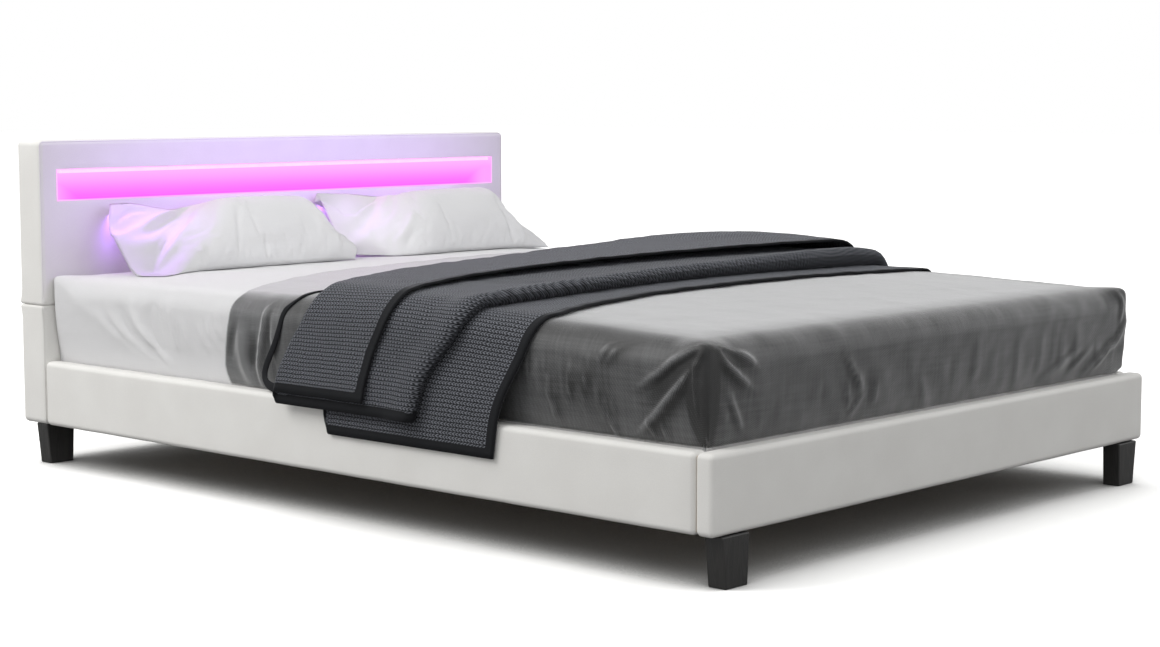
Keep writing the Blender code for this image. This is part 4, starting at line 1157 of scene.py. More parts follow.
class BackStaples:
    """Staples that hold the two back panels, set along each edge by Geometry Nodes."""

    def __init__(
        self, inset: float = 0.009, spacing: float = 0.042, crown: float = 0.011, wire: float = 0.0011
    ) -> None:
        """Keeps the sizes, in metres."""
        self.inset = inset
        self.sizes = {"Spacing": spacing, "Crown": crown, "Wire": wire}

    def build(self, steel: Material) -> None:
        """Makes all staples as one plain mesh on the frame.

        Args:
            steel: Finish of the wire.
        """
        places: list[Triple] = []
        for node in ("headboard_upper_back", "headboard_lower_back"):
            low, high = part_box(node)
            y, inner, clear = high[1], self.inset, self.inset + 0.018
            for z in (low[2] + inner, high[2] - inner):
                places += [(low[0] + clear, y, z), (high[0] - clear, y, z)]
            for x in (low[0] + inner, high[0] - inner):
                places += [(x, y, low[2] + clear), (x, y, high[2] - clear)]
        path = bpy.data.meshes.new("back_staples_path")
        path.from_pydata(places, [(k, k + 1) for k in range(0, len(places), 2)], [])
        maker = linked("back_staples_maker", path)
        tree = self._tree()
        modifier = maker.modifiers.new("Staples", "NODES")
        modifier.node_group = tree
        values = {**self.sizes, "Seed": 5, "Finish": steel}
        for item in tree.interface.items_tree:
            if item.item_type == "SOCKET" and item.name in values:
                modifier[item.identifier] = values[item.name]
        bpy.context.view_layer.update()
        mesh = bpy.data.meshes.new_from_object(maker.evaluated_get(bpy.context.evaluated_depsgraph_get()))
        mesh.name = "back_staples"
        mesh.shade_smooth()
        maker.modifiers.remove(modifier)
        bpy.data.objects.remove(maker)
        piece = linked("back_staples", mesh)
        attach(piece, "frame")
        log.info("back_staples: %d faces", len(mesh.polygons))

    def _tree(self) -> Tree:
        """The node tree: a wire staple at even steps along every edge of a path."""
        tree = bpy.data.node_groups.new("Staple rows", "GeometryNodeTree")
        face = tree.interface
        face.new_socket("Path", in_out="INPUT", socket_type="NodeSocketGeometry")
        for name in self.sizes:
            face.new_socket(name, in_out="INPUT", socket_type="NodeSocketFloat")
        face.new_socket("Seed", in_out="INPUT", socket_type="NodeSocketInt")
        face.new_socket("Finish", in_out="INPUT", socket_type="NodeSocketMaterial")
        face.new_socket("Staples", in_out="OUTPUT", socket_type="NodeSocketGeometry")
        graph = Graph(tree)
        given = graph.add("NodeGroupInput").outputs
        size = {name: given[name] for name in self.sizes}
        line = graph.add("GeometryNodeMeshToCurve", {"Mesh": given["Path"]}).outputs["Curve"]
        steps = {"Curve": line, "Length": size["Spacing"]}
        spaced = graph.add("GeometryNodeCurveToPoints", steps, mode="LENGTH").outputs
        thin, quarter = graph.times(size["Wire"], 0.5), math.pi / 2
        wire = {"Vertices": 8, "Radius": thin}
        bar, stem = (
            graph.add("GeometryNodeMeshCylinder", {**wire, "Depth": size[name]}).outputs["Mesh"]
            for name in ("Crown", "Wire")
        )
        parts = [graph.add("GeometryNodeTransform", {"Geometry": bar, "Rotation": (0.0, quarter, 0.0)})]
        for side in (-0.5, 0.5):
            away = {0: graph.times(size["Crown"], side), 1: graph.times(thin, -1.0)}
            shift = graph.add("ShaderNodeCombineXYZ", away).outputs[0]
            move = {"Geometry": stem, "Translation": shift, "Rotation": (quarter, 0.0, 0.0)}
            parts.append(graph.add("GeometryNodeTransform", move))
        staple = graph.add("GeometryNodeJoinGeometry")
        for part in parts:
            tree.links.new(part.outputs[0], staple.inputs[0])
        way = {"Vector": spaced["Tangent"]}
        turned = graph.add("FunctionNodeAlignRotationToVector", way, axis="X", pivot_axis="Y")
        placed = graph.add("GeometryNodeInstanceOnPoints", {
            "Points": spaced["Points"], "Instance": staple.outputs[0], "Rotation": turned.outputs[0],
        })
        askew = graph.add("FunctionNodeRandomValue", {"Seed": given["Seed"]}, data_type="FLOAT_VECTOR")
        askew.inputs[0].default_value, askew.inputs[1].default_value = (0.0, -0.06, 0.0), (0.0, 0.06, 0.0)
        slack = {"Instances": placed.outputs[0], "Rotation": askew.outputs[0]}
        tilted = graph.add("GeometryNodeRotateInstances", slack)
        real = graph.add("GeometryNodeRealizeInstances", {"Geometry": tilted.outputs[0]}).outputs[0]
        made = graph.add("GeometryNodeSetMaterial", {"Geometry": real, "Material": given["Finish"]})
        tree.links.new(made.outputs[0], graph.add("NodeGroupOutput").inputs[0])
        return tree


@dataclass
class NicheLight:
    """Light that the bar throws into the niche and onto the headboard."""

    glow_power: float = 3.3

    def build(self) -> None:
        """Adds the lamps."""
        low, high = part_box("niche_tray")
        front = low[1]
        boxes, pillows = (
            [name.format(part) for part in parts] for name, parts in (
                ("headboard_{}_cover_leather", ("upper", "lower")), ("pillow_{}_soft", ("left", "right")),
            )
        )
        headboard, linen = self._group("Lit by the glow", boxes), self._group("Lit by the niche", pillows)
        place = (0.0, front + 0.012, high[2] - 0.0125)
        Lamp("Niche lamp", place, (0, 0, 0), 0.1, (1.0, 0.08, 0.97)).area(high[0] * 1.95, 0.01)
        place, turn = (0.0, front - 0.5, high[2] + 0.06), (math.radians(66), 0, 0)
        Lamp("Headboard glow", place, turn, self.glow_power, (0.5, 0.27, 1.0), headboard).area(1.3, 0.3)
        place, turn = (-0.1, front - 0.02, low[2] - 0.06), (math.radians(-62), 0, 0)
        Lamp("Pillow glow", place, turn, 0.5, (0.62, 0.25, 1.0), linen).area(1.35, 0.03)
        place = (-2.2, -0.9, 2.7)
        for side, across, power, cone in (("Left", -0.18, 150.0, 12), ("Right", 0.47, 160.0, 11)):
            turn = aim(place, (across, 0.84, 0.55))
            Lamp(f"{side} pillow fill", place, turn, power, (1.0, 1.0, 1.0), linen).spot(math.radians(cone))
        for side, across, wide, power in (("Left", -0.62, 0.28, 0.24), ("Right", 0.08, 0.2, 0.06)):
            place = (across, 0.925, 0.71)
            turn = aim(place, (across, 0.83, 0.53))
            glow = Lamp(f"{side} flange glow", place, turn, power, (0.52, 0.15, 1.0), linen)
            glow.area(wide, 0.03, math.radians(110))
        for side, place, target, power in (
            ("Left", (-0.6, front - 0.03, 0.555), (-0.61, front, 0.535), 0.028),
            ("Right", (0.085, front - 0.03, 0.56), (0.08, front, 0.54), 0.02),
        ):
            turn = aim(place, target, "Z")
            Lamp(f"{side} edge glow", place, turn, power, (0.42, 0.16, 1.0), headboard).area(0.02, 0.11)
        shaded = self._group("Not in the key light", pillows)
        bpy.data.objects["Key light"].light_linking.receiver_collection = shaded
        for entry in shaded.collection_objects:
            entry.light_linking.link_state = "EXCLUDE"

    def _group(self, name: str, pieces: Sequence[str]) -> bpy.types.Collection:
        """A collection of pieces that lamps are linked to."""
        group = bpy.data.collections.new(name)
        for piece in pieces:
            group.objects.link(bpy.data.objects[piece])
        return group


# Mattress and its cloths


@dataclass
class MattressForm:
    """The form of the mattress that the sheet, the cover and the throw lie on."""

    half: float = 0.772
    foot: float = -1.047
    head: float = 0.984
    base: float = 0.2136
    shoulder: float = 0.0535
    corner: float = 0.013
    widest: float = 0.4086
    top: float = 0.4736
    crown: float = 0.012
    rim: float = 0.055
    crown_reach: float = 0.717
    side_tuck: float = 0.029
    foot_tuck: float = 0.015
    foot_sag: float = 0.013
    bulge: Table = (
        (0.2136, 0.0), (0.2196, 0.02), (0.2507, 0.2), (0.2575, 0.27), (0.2838, 0.48), (0.3306, 0.77),
        (0.3794, 0.95), (0.4086, 1.0),
    )

    def skin(self, grown: float, sides: Sequence[Side], grid: Grid) -> Skin:
        """A skin over the form, grown outward.

        Args:
            grown: Distance outward from the form.
            sides: The sides that it covers.
            grid: Grid lines along each axis, from the form's own limits.

        Returns:
            The skin, with bulged sides and a crowned top.
        """
        def radius(places: Array) -> Array:
            """Roundness of the edges, which is smallest at the upright corners."""
            beside = self.half - np.abs(places[:, 0])
            before = np.minimum(places[:, 1] - self.foot, self.head - places[:, 1])
            share = smooth(0.0, 0.1, np.hypot(np.maximum(beside, 0), np.maximum(before, 0)))
            return self.corner + (self.shoulder - self.corner) * share + grown

        skin = SkinBox(grid, sides, radius).build()
        x, y, z = skin.points.T
        tucked, facing, level = self.tucked(z), skin.normals(), z < self.widest
        x -= np.where(level, np.sign(x) * np.abs(facing[:, 0]) ** 0.5 * self.side_tuck * tucked, 0)
        y += np.where(level, np.clip(-facing[:, 1], 0, 1) ** 0.5 * self.foot_tuck * tucked, 0)
        z += self.crown * self.crowned(skin.points)
        z -= self.foot_sag * smooth(-0.5, -1.1, y) * smooth(self.base + 0.03, self.top - self.crown, z)
        return skin

    def tucked(self, heights: Any) -> Any:
        """How far the sides have curved in at a height, from 0 at the widest to 1 at the base."""
        return 1.0 - np.interp(heights, *zip(*self.bulge))

    def onto(self, fold: Fold) -> Fold:
        """The same fold with its line laid onto the near or foot side, which curve inward below."""
        line = []
        for x, y, z in fold.line:
            if x < 0.004 - self.half:
                x += self.side_tuck * float(self.tucked(z))
            elif y < self.foot + 0.004:
                y += self.foot_tuck * float(self.tucked(z))
            line.append((x, y, z))
        return replace(fold, line=tuple(line))

    def height(self, points: Array) -> Array:
        """Height of the top near the head end, under each point."""
        inset = np.minimum(self.half - np.abs(points[:, 0]), self.head - points[:, 1])
        return self.top - self.crown + self.crown * self._risen(inset)

    def crowned(self, points: Array) -> Array:
        """How much of the crown's height each point has, which is none below the top."""
        x, y, z = points.T
        inset = np.minimum.reduce([self.half - np.abs(x), y - self.foot, self.head - y])
        return self._risen(inset) * smooth(self.widest, self.top - self.crown - 0.004, z)

    def _risen(self, inset: Array) -> Array:
        """Share of the crown's height at a distance from the nearest edge."""
        return 1 - (1 - np.clip((inset - self.rim) / self.crown_reach, 0, 1)) ** 2

    def grid(self, grown: float, bottom: float, x_step: float, y_lines: Array, z_step: float) -> Grid:
        """Grid lines for a skin.

        Args:
            grown: Distance outward from the form.
            bottom: Lowest line.
            x_step: Spacing across the bed.
            y_lines: Lines along the bed, in the form's own places.
            z_step: Spacing up the sides.

        Returns:
            The lines along each axis.
        """
        wide, high, ys = self.half + grown, self.top - self.crown + grown, y_lines.copy()
        if abs(ys[0] - self.foot) < 1e-6:
            ys[0] -= grown
        edge = min(x_step, 0.005) if x_step < 0.015 else x_step
        xs = lines((-wide, -wide + 0.2, edge), (-wide + 0.2, wide - 0.1, x_step), (wide - 0.1, wide, edge))
        return xs, ys, lines((bottom, high, z_step))


@dataclass
class Bedding:
    """Mattress, fitted sheet and satin cover, whose head edge is drawn up to the two edge lines.

    The folds' rows are for traced, with places along the bed or across it, and up.
    """

    form: MattressForm
    cotton: Material
    satin: Material
    drawn_from: float = 0.14
    drawn_length: float = 0.19
    edge_on_top: Table = (
        (-0.772, 0.303), (-0.754, 0.293), (-0.741, 0.29), (-0.705, 0.307), (-0.657, 0.335), (-0.603, 0.366),
        (-0.49, 0.416), (-0.364, 0.46), (-0.267, 0.48), (-0.169, 0.497), (-0.06, 0.524), (0.2, 0.575),
        (0.48, 0.6), (0.66, 0.56), (0.772, 0.45),
    )
    edge_on_side: Table = (
        (0.2485, 0.325), (0.2593, 0.333), (0.2757, 0.339), (0.297, 0.34), (0.336, 0.331), (0.368, 0.322),
        (0.401, 0.31), (0.431, 0.303), (0.4425, 0.299), (0.4526, 0.293),
    )
    pulls: Rows = (
        (6, 11, 0.3, 2, (765, 395), (753, 376), (709, 342), (671, 318), (634, 291), (600, 275)),
        (-7, 14, 0, 2, (725, 410), (713, 392), (687, 344), (633, 308), (600, 290)),
        (12, 9.5, 0.45, 1.6, (675, 410), (669, 388), (648, 363), (616, 335), (585, 301), (559, 274),
         (545, 250)),
        (-9, 20, 0, 2, (585, 425), (588, 385), (582, 335), (556, 290)),
        (6, 8.5, 0.2, 2, (528, 420), (523, 395), (514, 346), (505, 298)),
        (5, 10, 0.2, 2, (487, 394), (472, 350), (458, 302)),
        (5, 9, 0, 2, (420, 385), (410, 350), (396, 320)),
        (6, 9, 0.2, 2, (388, 404), (379, 366), (355, 320)),
        (6, 7, 0.2, 2, (358, 415), (353, 377), (334, 347)),
        (8, 7.5, 0.2, 2, (562, 296), (540, 278), (517, 255)),
        (-8, 5.5, 0, 2, (553, 268), (545, 255), (538, 238)),
        (3.5, 13, 0, 2, (830, 400), (790, 365), (730, 325), (680, 295)),
    )
    near_folds: Rows = (
        (11, 9.5, 0.3, 1.5, (-1046, 449), (-1024, 437), (-977, 415), (-935, 388), (-885, 360)),
        (13, 10, 0.3, 1.5, (-1036, 427), (-1018, 407), (-995, 380), (-971, 355), (-929, 314), (-880, 275)),
        (-8, 13, 0, 2, (-1040, 440), (-995, 403), (-953, 367), (-900, 325)),
        (-11, 9, 0, 2, (-1022, 415), (-1010, 378), (-1009, 336), (-1014, 300), (-1030, 262)),
        (11, 5.6, 0, 1.5, (-1043, 440), (-1027, 405), (-1023, 378), (-1023, 336), (-1028, 300), (-1036, 273),
         (-1041, 257)),
        (6, 8, 0.2, 1.6, (-842, 455), (-831, 446), (-806, 420), (-785, 395)),
        (6, 8, 0.2, 1.6, (-885, 460), (-874, 453), (-837, 427), (-805, 395)),
        (6, 6, 0.2, 1.6, (-800, 300), (-806, 287), (-822, 262)),
        (5, 6, 0.2, 1.6, (-905, 300), (-911, 284), (-920, 262)),
        (5, 6, 0.2, 1.6, (-933, 300), (-939, 287), (-948, 262)),
        (10, 8.5, 0.3, 1.5, (180, 452), (190, 420), (203, 361), (216, 307), (212, 255)),
        (7, 22, 0.2, 2, (275, 385), (272, 340), (260, 296), (245, 255)),
        (-9, 12, 0, 2, (232, 385), (234, 345), (240, 300)),
        (-9, 12, 0, 2, (305, 405), (312, 360), (316, 315)),
        (-7, 10, 0, 2, (175, 430), (180, 370), (185, 310)),
        (4, 8, 0.2, 2, (160, 420), (165, 370), (150, 300)),
        (6, 7, 0.2, 1.6, (-655, 360), (-661, 317), (-668, 275)),
        (7, 7, 0.2, 1.6, (-722, 405), (-719, 384), (-711, 339), (-700, 310)),
        (6, 7, 0.2, 1.6, (-762, 410), (-760, 387), (-752, 352), (-745, 320)),
    )
    foot_folds: Rows = (
        (-13, 22, 0, 2, (-760, 435), (-757, 400), (-754, 340), (-754, 290), (-760, 258)),
        (10, 9, -0.3, 1.5, (-764, 448), (-733, 431), (-703, 401), (-677, 382), (-640, 362)),
        (9, 9, -0.3, 1.5, (-752, 452), (-704, 440), (-659, 420), (-625, 400)),
        (-8, 10, 0, 2, (-755, 441), (-718, 423), (-674, 403)),
        (5, 9, 0.2, 2, (-710, 360), (-698, 335), (-675, 300), (-660, 280)),
        (6, 8, 0.3, 1.6, (-345, 395), (-325, 369), (-292, 328), (-285, 310)),
        (5, 6, 0.2, 1.6, (-340, 345), (-336, 323), (-323, 284)),
        (5, 6, 0.2, 1.6, (-235, 345), (-238, 323), (-241, 285)),
        (5, 6, 0.2, 1.6, (-280, 310), (-300, 290), (-321, 268)),
        (8, 10, 0.3, 1.6, (768, 385), (723, 338), (682, 310), (625, 272)),
        (7, 9, 0.3, 1.6, (700, 330), (646, 299), (590, 270)),
        (5, 9, 0.3, 1.6, (620, 330), (565, 302), (515, 272)),
        (5, 11, 0.3, 2, (565, 330), (486, 302), (405, 270)),
        (6, 8, 0.2, 1.6, (729, 450), (742, 414), (732, 375)),
    )

    def build(self) -> None:
        """Makes the three, from the inside out."""
        self._mattress()
        self._sheet()
        self._cover()

    def _mattress(self) -> None:
        """The padded core, a few millimetres inside its sheet."""
        form = self.form
        foot, head = form.foot, form.head
        ys = lines((foot, foot + 0.08, 0.012), (foot + 0.08, head - 0.08, 0.05), (head - 0.08, head, 0.012))
        skin = form.skin(-0.004, list(Side), form.grid(-0.004, form.base + 0.003, 0.03, ys, 0.014))
        piece = skin.to_object("mattress_pad", self.cotton, "mattress", "white_cotton")
        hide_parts("mattress")

    def _sheet(self) -> None:
        """White fitted sheet, drawn tight with soft pulls on its near side."""
        form = self.form
        foot = form.foot
        ys = lines((foot, foot + 0.08, 0.012), (foot + 0.08, 0.25, 0.04), (0.25, form.head, 0.007))
        sides = [Side.LEFT, Side.RIGHT, Side.FOOT, Side.HEAD, Side.TOP]
        grid = form.grid(-0.001, form.base + 0.0006, 0.012, ys, 0.006)
        skin = form.skin(-0.001, sides, grid)
        x = -0.768
        pulls = traced(self.pulls, lambda y, z: (x, y, z))
        corner = ((-0.76, 0.93, 0.43), (x, 0.88, 0.4), (x, 0.8, 0.36), (-0.76, 0.74, 0.3))
        pulls += (Fold(corner, 0.002, 0.016),)
        seen = smooth(0.326, 0.345, skin.points[:, 1])
        skin.push(seen * (lift_folds(skin, map(form.onto, pulls)) + 0.0006 * ripple(skin.points, 0.11, 5)))
        piece = skin.to_object("fitted_sheet", self.cotton, "mattress", "white_cotton")
        thicken(piece, 0.0016)

    def _cover(self) -> None:
        """Grey satin over the foot end, tucked in behind the rails."""
        form = self.form
        grown = 0.0022
        ys = lines((form.foot, -0.8, 0.0045), (-0.8, -0.45, 0.009), (-0.45, 0.14, 0.02), (0.14, 0.33, 0.006))
        sides = [Side.LEFT, Side.RIGHT, Side.FOOT, Side.TOP]
        skin = form.skin(grown, sides, form.grid(grown, 0.2565, 0.0105, ys, 0.0048))
        folds, facing = self._cover_folds(), skin.normals()
        x, y, z = skin.points.T
        inset = np.minimum(form.half - np.abs(x), y - form.foot)
        # Painted sheen that is lighter towards the head end and painted shade along the upper edges near the
        # sides and foot, added to the folds' painted highlight and shade in the fold mark.
        painted_sheen_and_shade = 0.75 * smooth(0.09, 0.16, y) - 0.85 * smooth(0.13, 0.0, inset) * smooth(0.41, 0.455, z)
        skin.marks["fold"] = np.clip(painted_sheen_and_shade + sum(fold.tone(skin.points, facing) for fold in folds), -1.0, 1.3)
        skin.push(np.clip(lift_folds(skin, folds) + 0.0008 * ripple(skin.points, 0.12, 11), -0.0006, 0.0125))
        x, y, z = skin.points.T
        far = (x > 0.7) * smooth(-0.66, -0.74, y)
        loose = 0.006 * smooth(0.462, 0.42, z) + 0.022 * form.tucked(z)
        x += far * smooth(0.2565, 0.268, z) * loose
        self._drawn_up(skin)
        piece = skin.to_object("satin_cover_cloth", self.satin, "mattress", "satin")
        thicken(piece, 0.0022)
        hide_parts("satin_cover")

    def _drawn_up(self, skin: Skin) -> None:
        """Draws the cover's head edge up the bed, in the sweep that it lies in."""
        x, y, z = skin.points.T
        on_top = np.interp(x, *zip(*self.edge_on_top))
        on_side = np.interp(z, *zip(*self.edge_on_side))
        edge = on_top + (on_side - on_top) * (x < -0.7) * smooth(0.46, 0.4526, z)
        before = self.form.crowned(skin.points)
        share = np.clip((y - self.drawn_from) / self.drawn_length, 0, None)
        y[:] = np.where(share > 0, self.drawn_from + share * (edge - self.drawn_from), y)
        z += self.form.crown * (self.form.crowned(skin.points) - before)

    def _cover_folds(self) -> list[Fold]:
        """Folds of the satin, where the photograph shows them."""
        x, y = -0.772, -1.047
        near_side = traced(self.near_folds, lambda along, z: (x, along, z))
        foot_side = traced(self.foot_folds, lambda across, z: (across, y, z))
        folds = [*near_side, *foot_side]
        chance = np.random.default_rng(7)
        for index in range(14):
            near = -0.6 - 0.22 * (index + chance.uniform(-0.3, 0.3)) / 14
            high, low = chance.uniform(0.375, 0.41), chance.uniform(0.26, 0.33)
            drift = chance.uniform(-0.03, 0.012)
            folds.append(Fold(
                ((x, near, high), (x, near + drift * 0.5 + 0.004, (high + low) / 2), (x, near + drift, low)),
                chance.uniform(0.0015, 0.0045), chance.uniform(0.005, 0.011), chance.uniform(-0.3, 0.5),
            ))
        for index in range(22):
            across = -0.7 + 1.4 * (index + chance.uniform(-0.4, 0.4)) / 22
            high, low = chance.uniform(0.33, 0.4), chance.uniform(0.257, 0.3)
            folds.append(Fold(
                ((across, y, high), (across + chance.uniform(-0.02, 0.03), y, low)),
                chance.uniform(0.0008, 0.0028), chance.uniform(0.01, 0.022), 0.3,
            ))
        return [self.form.onto(fold) for fold in folds]


@dataclass
class Throw:
    """Knitted blanket folded in three, laid across the bed."""

    form: MattressForm
    material: Material
    foot_end: float = -0.63
    span: float = 0.85
    hems: Triple = (0.186, 0.24, 0.266)
    cloth: float = 0.0056
    low_layers: Pair = (0.004, 0.0115)
    roll_depth: float = 0.0165
    heads: tuple[Table, Table] = (
        ((-1.0, 0.69), (-0.9, 0.69), (-0.85, 0.71), (-0.8, 0.72), (-0.7, 0.69), (-0.66, 0.74), (-0.6, 0.78),
         (-0.4, 0.9), (0.0, 1.0), (0.5, 1.05), (0.76, 1.03), (1.0, 0.97)),
        ((-1.0, 0.87), (-0.901, 0.843), (-0.862, 0.822), (-0.815, 0.798), (-0.778, 0.772), (-0.757, 0.752),
         (-0.735, 0.74), (-0.715, 0.737), (-0.66, 0.77), (-0.6, 0.8), (-0.4, 0.915), (0.0, 1.01),
         (0.5, 1.06), (0.76, 1.04), (1.0, 0.98)),
    )
    feet: tuple[Table, ...] = (
        ((-1.0, 0.11), (-0.9, 0.09), (-0.78, 0.02), (-0.7, 0.0), (-0.55, 0.06), (-0.3, 0.11),
         (0.0, 0.13), (0.4, 0.13), (0.7, 0.12), (1.0, 0.15)),
        ((-1.0, 0.38), (-0.85, 0.32), (-0.75, 0.22), (-0.68, 0.21), (-0.4, 0.23), (0.0, 0.26),
         (0.4, 0.26), (0.7, 0.295), (1.0, 0.35)),
        ((-1.0, 0.525), (-0.92, 0.52), (-0.86, 0.505), (-0.81, 0.49), (-0.75, 0.455), (-0.71, 0.455),
         (-0.66, 0.49), (-0.5, 0.53), (-0.3, 0.53),
         (0.0, 0.5), (0.4, 0.435), (0.7, 0.415), (1.0, 0.46)),
    )
    swell: Table = (
        (-0.8, 0.0), (-0.62, 0.1), (-0.3, 0.15), (0.1, 0.35), (0.4, 0.9), (0.6, 1.0), (0.7, 0.6), (0.8, 0.0),
    )
    foot_lift: Table = (
        (-1.0, 0.031), (-0.66, 0.0335), (-0.5, 0.0375), (-0.3, 0.042), (0.0, 0.049), (0.2, 0.054),
        (0.4, 0.06), (0.6, 0.063), (0.7, 0.064), (0.78, 0.05), (0.85, 0.034), (1.0, 0.031),
    )
    head_lift: Table = (
        (-1.0, 0.031), (-0.62, 0.031), (-0.46, 0.026), (-0.33, 0.0245), (-0.04, 0.0245), (0.1, 0.0275),
        (0.19, 0.033), (0.3, 0.036), (0.4, 0.04), (0.5, 0.047), (0.6, 0.053), (0.7, 0.059), (0.77, 0.056),
        (0.83, 0.04), (0.9, 0.032), (1.0, 0.031),
    )
    lean: Table = ((0.0, 0.0), (0.25, 0.12), (0.6, 0.5), (1.0, 1.0))

    def _line(self) -> Grid:
        """The line across the bed that the throw lies on.

        Returns:
            Places (x, z), outward directions and the share from -1 to 1, finely spaced.
        """
        form = self.form
        rest = 0.0045
        outside, edge, start = 0.799, form.half + rest, 0.276
        places = [(outside, z) for z in np.linspace(0.184, start, 12)[:-1]]
        shares = np.linspace(0, 1, 16)
        bent = eased(np.interp(shares, *zip(*self.lean)))
        rising = start + (form.widest - start) * shares
        places += zip(outside + (edge - outside) * bent, rising)
        flat, rise = form.half - form.rim, 0.053
        for angle in np.radians(np.linspace(0, 90, 13)[1:]):
            places.append((
                flat + (form.rim + rest) * math.cos(angle), form.widest + (rise + rest) * math.sin(angle)
            ))
        level = form.widest + rise + rest
        for share in np.linspace(0, 1, 48)[1:]:
            places.append((flat * (1 - share), level + form.crown * (1 - (1 - share) ** 2)))
        half = np.array(places)
        line = np.vstack([half * (-1, 1), half[-2::-1]])
        gaps = np.linalg.norm(np.diff(line, axis=0), axis=1)
        reached = np.concatenate([[0], np.cumsum(gaps)])
        count = int(reached[-1] / 0.0125)
        wanted = np.linspace(0, reached[-1], count + 1)
        x = np.interp(wanted, reached, line[:, 0])
        z = np.interp(wanted, reached, line[:, 1])
        along = np.stack([np.gradient(x), np.gradient(z)], axis=1)
        outward = np.stack([-along[:, 1], along[:, 0]], axis=1)
        outward /= np.linalg.norm(outward, axis=1, keepdims=True)
        return np.stack([x, z], axis=1), outward, wanted / reached[-1] * 2 - 1

    def build(self) -> None:
        """Makes the blanket as one sheet that runs through all its folds."""
        places, outward, shares = self._line()

        def at_rows(table: Table) -> Array:
            """A table's values along the line, softened."""
            return eased(np.interp(shares, *zip(*table)))

        head, upper_head = (self.foot_end + self.span * at_rows(table) for table in self.heads)
        feet = [self.foot_end + self.span * at_rows(table) for table in self.feet]
        swell = 0.02 * at_rows(self.swell)
        starts = [self._share_of(places, hem) for hem in self.hems]
        columns: list[tuple[Array, Array, float]] = []

        def run(y_from: Array, y_to: Array, lift: Array, lift_to: Array, tuck: float, count: int) -> None:
            """Adds columns of a layer that lies flat."""
            for share in (step / (count - 1) for step in range(count)):
                columns.append((y_from + (y_to - y_from) * share, lift + (lift_to - lift) * share, tuck))

        def bend(edge: Array, low: Array, high: Array, tucks: Pair, reach: float, count: int) -> None:
            """Adds columns that turn back into the next layer, reach past the edge."""
            for angle in (math.pi * step / (count + 1) for step in range(1, count + 1)):
                share = (1 - math.cos(angle)) / 2
                tuck = tucks[0] + (tucks[1] - tucks[0]) * share
                columns.append((edge + reach * math.sin(angle), low + (high - low) * share, tuck))

        four, four_head = at_rows(self.foot_lift), at_rows(self.head_lift)
        full_height, middle = 0.031, 0.52
        press = np.minimum(four_head / full_height, 1.0)
        one, two = (np.full(len(shares), height) for height in self.low_layers)
        one_head, two_head = one * press, two * press
        three, three_head = two + (four - two) * middle, two_head + (four_head - two_head) * middle
        first_turn, roll, last_turn = head - 0.01, feet[1] + 0.015, upper_head - 0.006
        run(feet[0], first_turn, one, one_head, 0.0, 60)
        bend(first_turn, one_head, two_head, (0.0, 1.0), 0.007, 5)
        run(head - 0.012, feet[1] + 0.03, two_head, two, 1.0, 34)
        roll_low, roll_high = two - 0.003, 0.0335 + 0.9 * swell
        run(feet[1] + 0.024, roll, roll_low, roll_low, 1.0, 2)
        roll_start = len(columns)
        bend(roll, roll_low, roll_high, (1.0, 1.0), -self.roll_depth, 11)
        roll_crest = len(columns)
        for share in (step / 8 for step in range(9)):
            ease = share * share * (3 - 2 * share)
            columns.append((roll + 0.085 * share, roll_high + (three - roll_high) * ease, 1.0))
        run(feet[1] + 0.11, last_turn, three, three_head, 1.0, 40)
        bend(last_turn, three_head, four_head, (1.0, 2.0), 0.009, 6)
        dome = 0.012 * smooth(0.45, 0.62, shares) * smooth(0.86, 0.79, shares)
        for share in (step / 51 for step in range(52)):
            lift = four_head + (four - four_head) * share + dome * math.sin(math.pi * share)
            columns.append((upper_head - 0.008 + (feet[2] - upper_head + 0.008) * share, lift, 2.0))

        rows = len(shares)
        index = np.arange(rows, dtype=float)
        grid = np.zeros((rows, len(columns), 3))
        for number, (depth, lift, tuck) in enumerate(columns):
            layer = int(tuck)
            low = starts[layer] + (starts[min(layer + 1, 2)] - starts[layer]) * (tuck - layer)
            # The rows of each column are spread between its own two hems.
            wanted = low + (rows - 1 - 2 * low) * index / (rows - 1)
            x, z, nx, nz, raised, grid[:, number, 1] = (
                np.interp(wanted, index, values) for values in (*places.T, *outward.T, lift, depth)
            )
            grid[:, number, 0], grid[:, number, 2] = x + nx * raised, z + nz * raised
        steps = np.linalg.norm(np.diff(grid, axis=1), axis=2)
        across = np.concatenate([np.zeros((rows, 1)), np.cumsum(steps, axis=1)], axis=1)
        runs = np.linalg.norm(np.diff(grid, axis=0), axis=2)
        along = np.concatenate([np.zeros((1, len(columns))), np.cumsum(runs, axis=0)], axis=0)
        edge = np.minimum.reduce([across, across[:, -1:] - across, along, along[-1:, :] - along])
        # The mark also carries painted shade: it darkens the hollow under the roll and the part behind its
        # crest towards the border's colour.
        painted_shade_under_roll, behind = edge[:, roll_start:roll_start + 7], edge[:, roll_crest:roll_crest + 45]
        np.minimum(painted_shade_under_roll, 0.0204, out=painted_shade_under_roll)
        np.minimum(behind, 0.0207 + 0.0015 * smooth(-0.48, -0.64, shares)[:, None], out=behind)
        skin = grid_skin(grid, np.stack([along, across], axis=2))
        skin.marks["edge"] = edge.ravel()
        skin.push(0.0008 * ripple(skin.points, 0.09, 21))
        piece = skin.to_object("knitted_throw_blanket", self.material, "throw", "knit")
        thicken(piece, self.cloth)
        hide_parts("knitted_throw")
        self._loop()

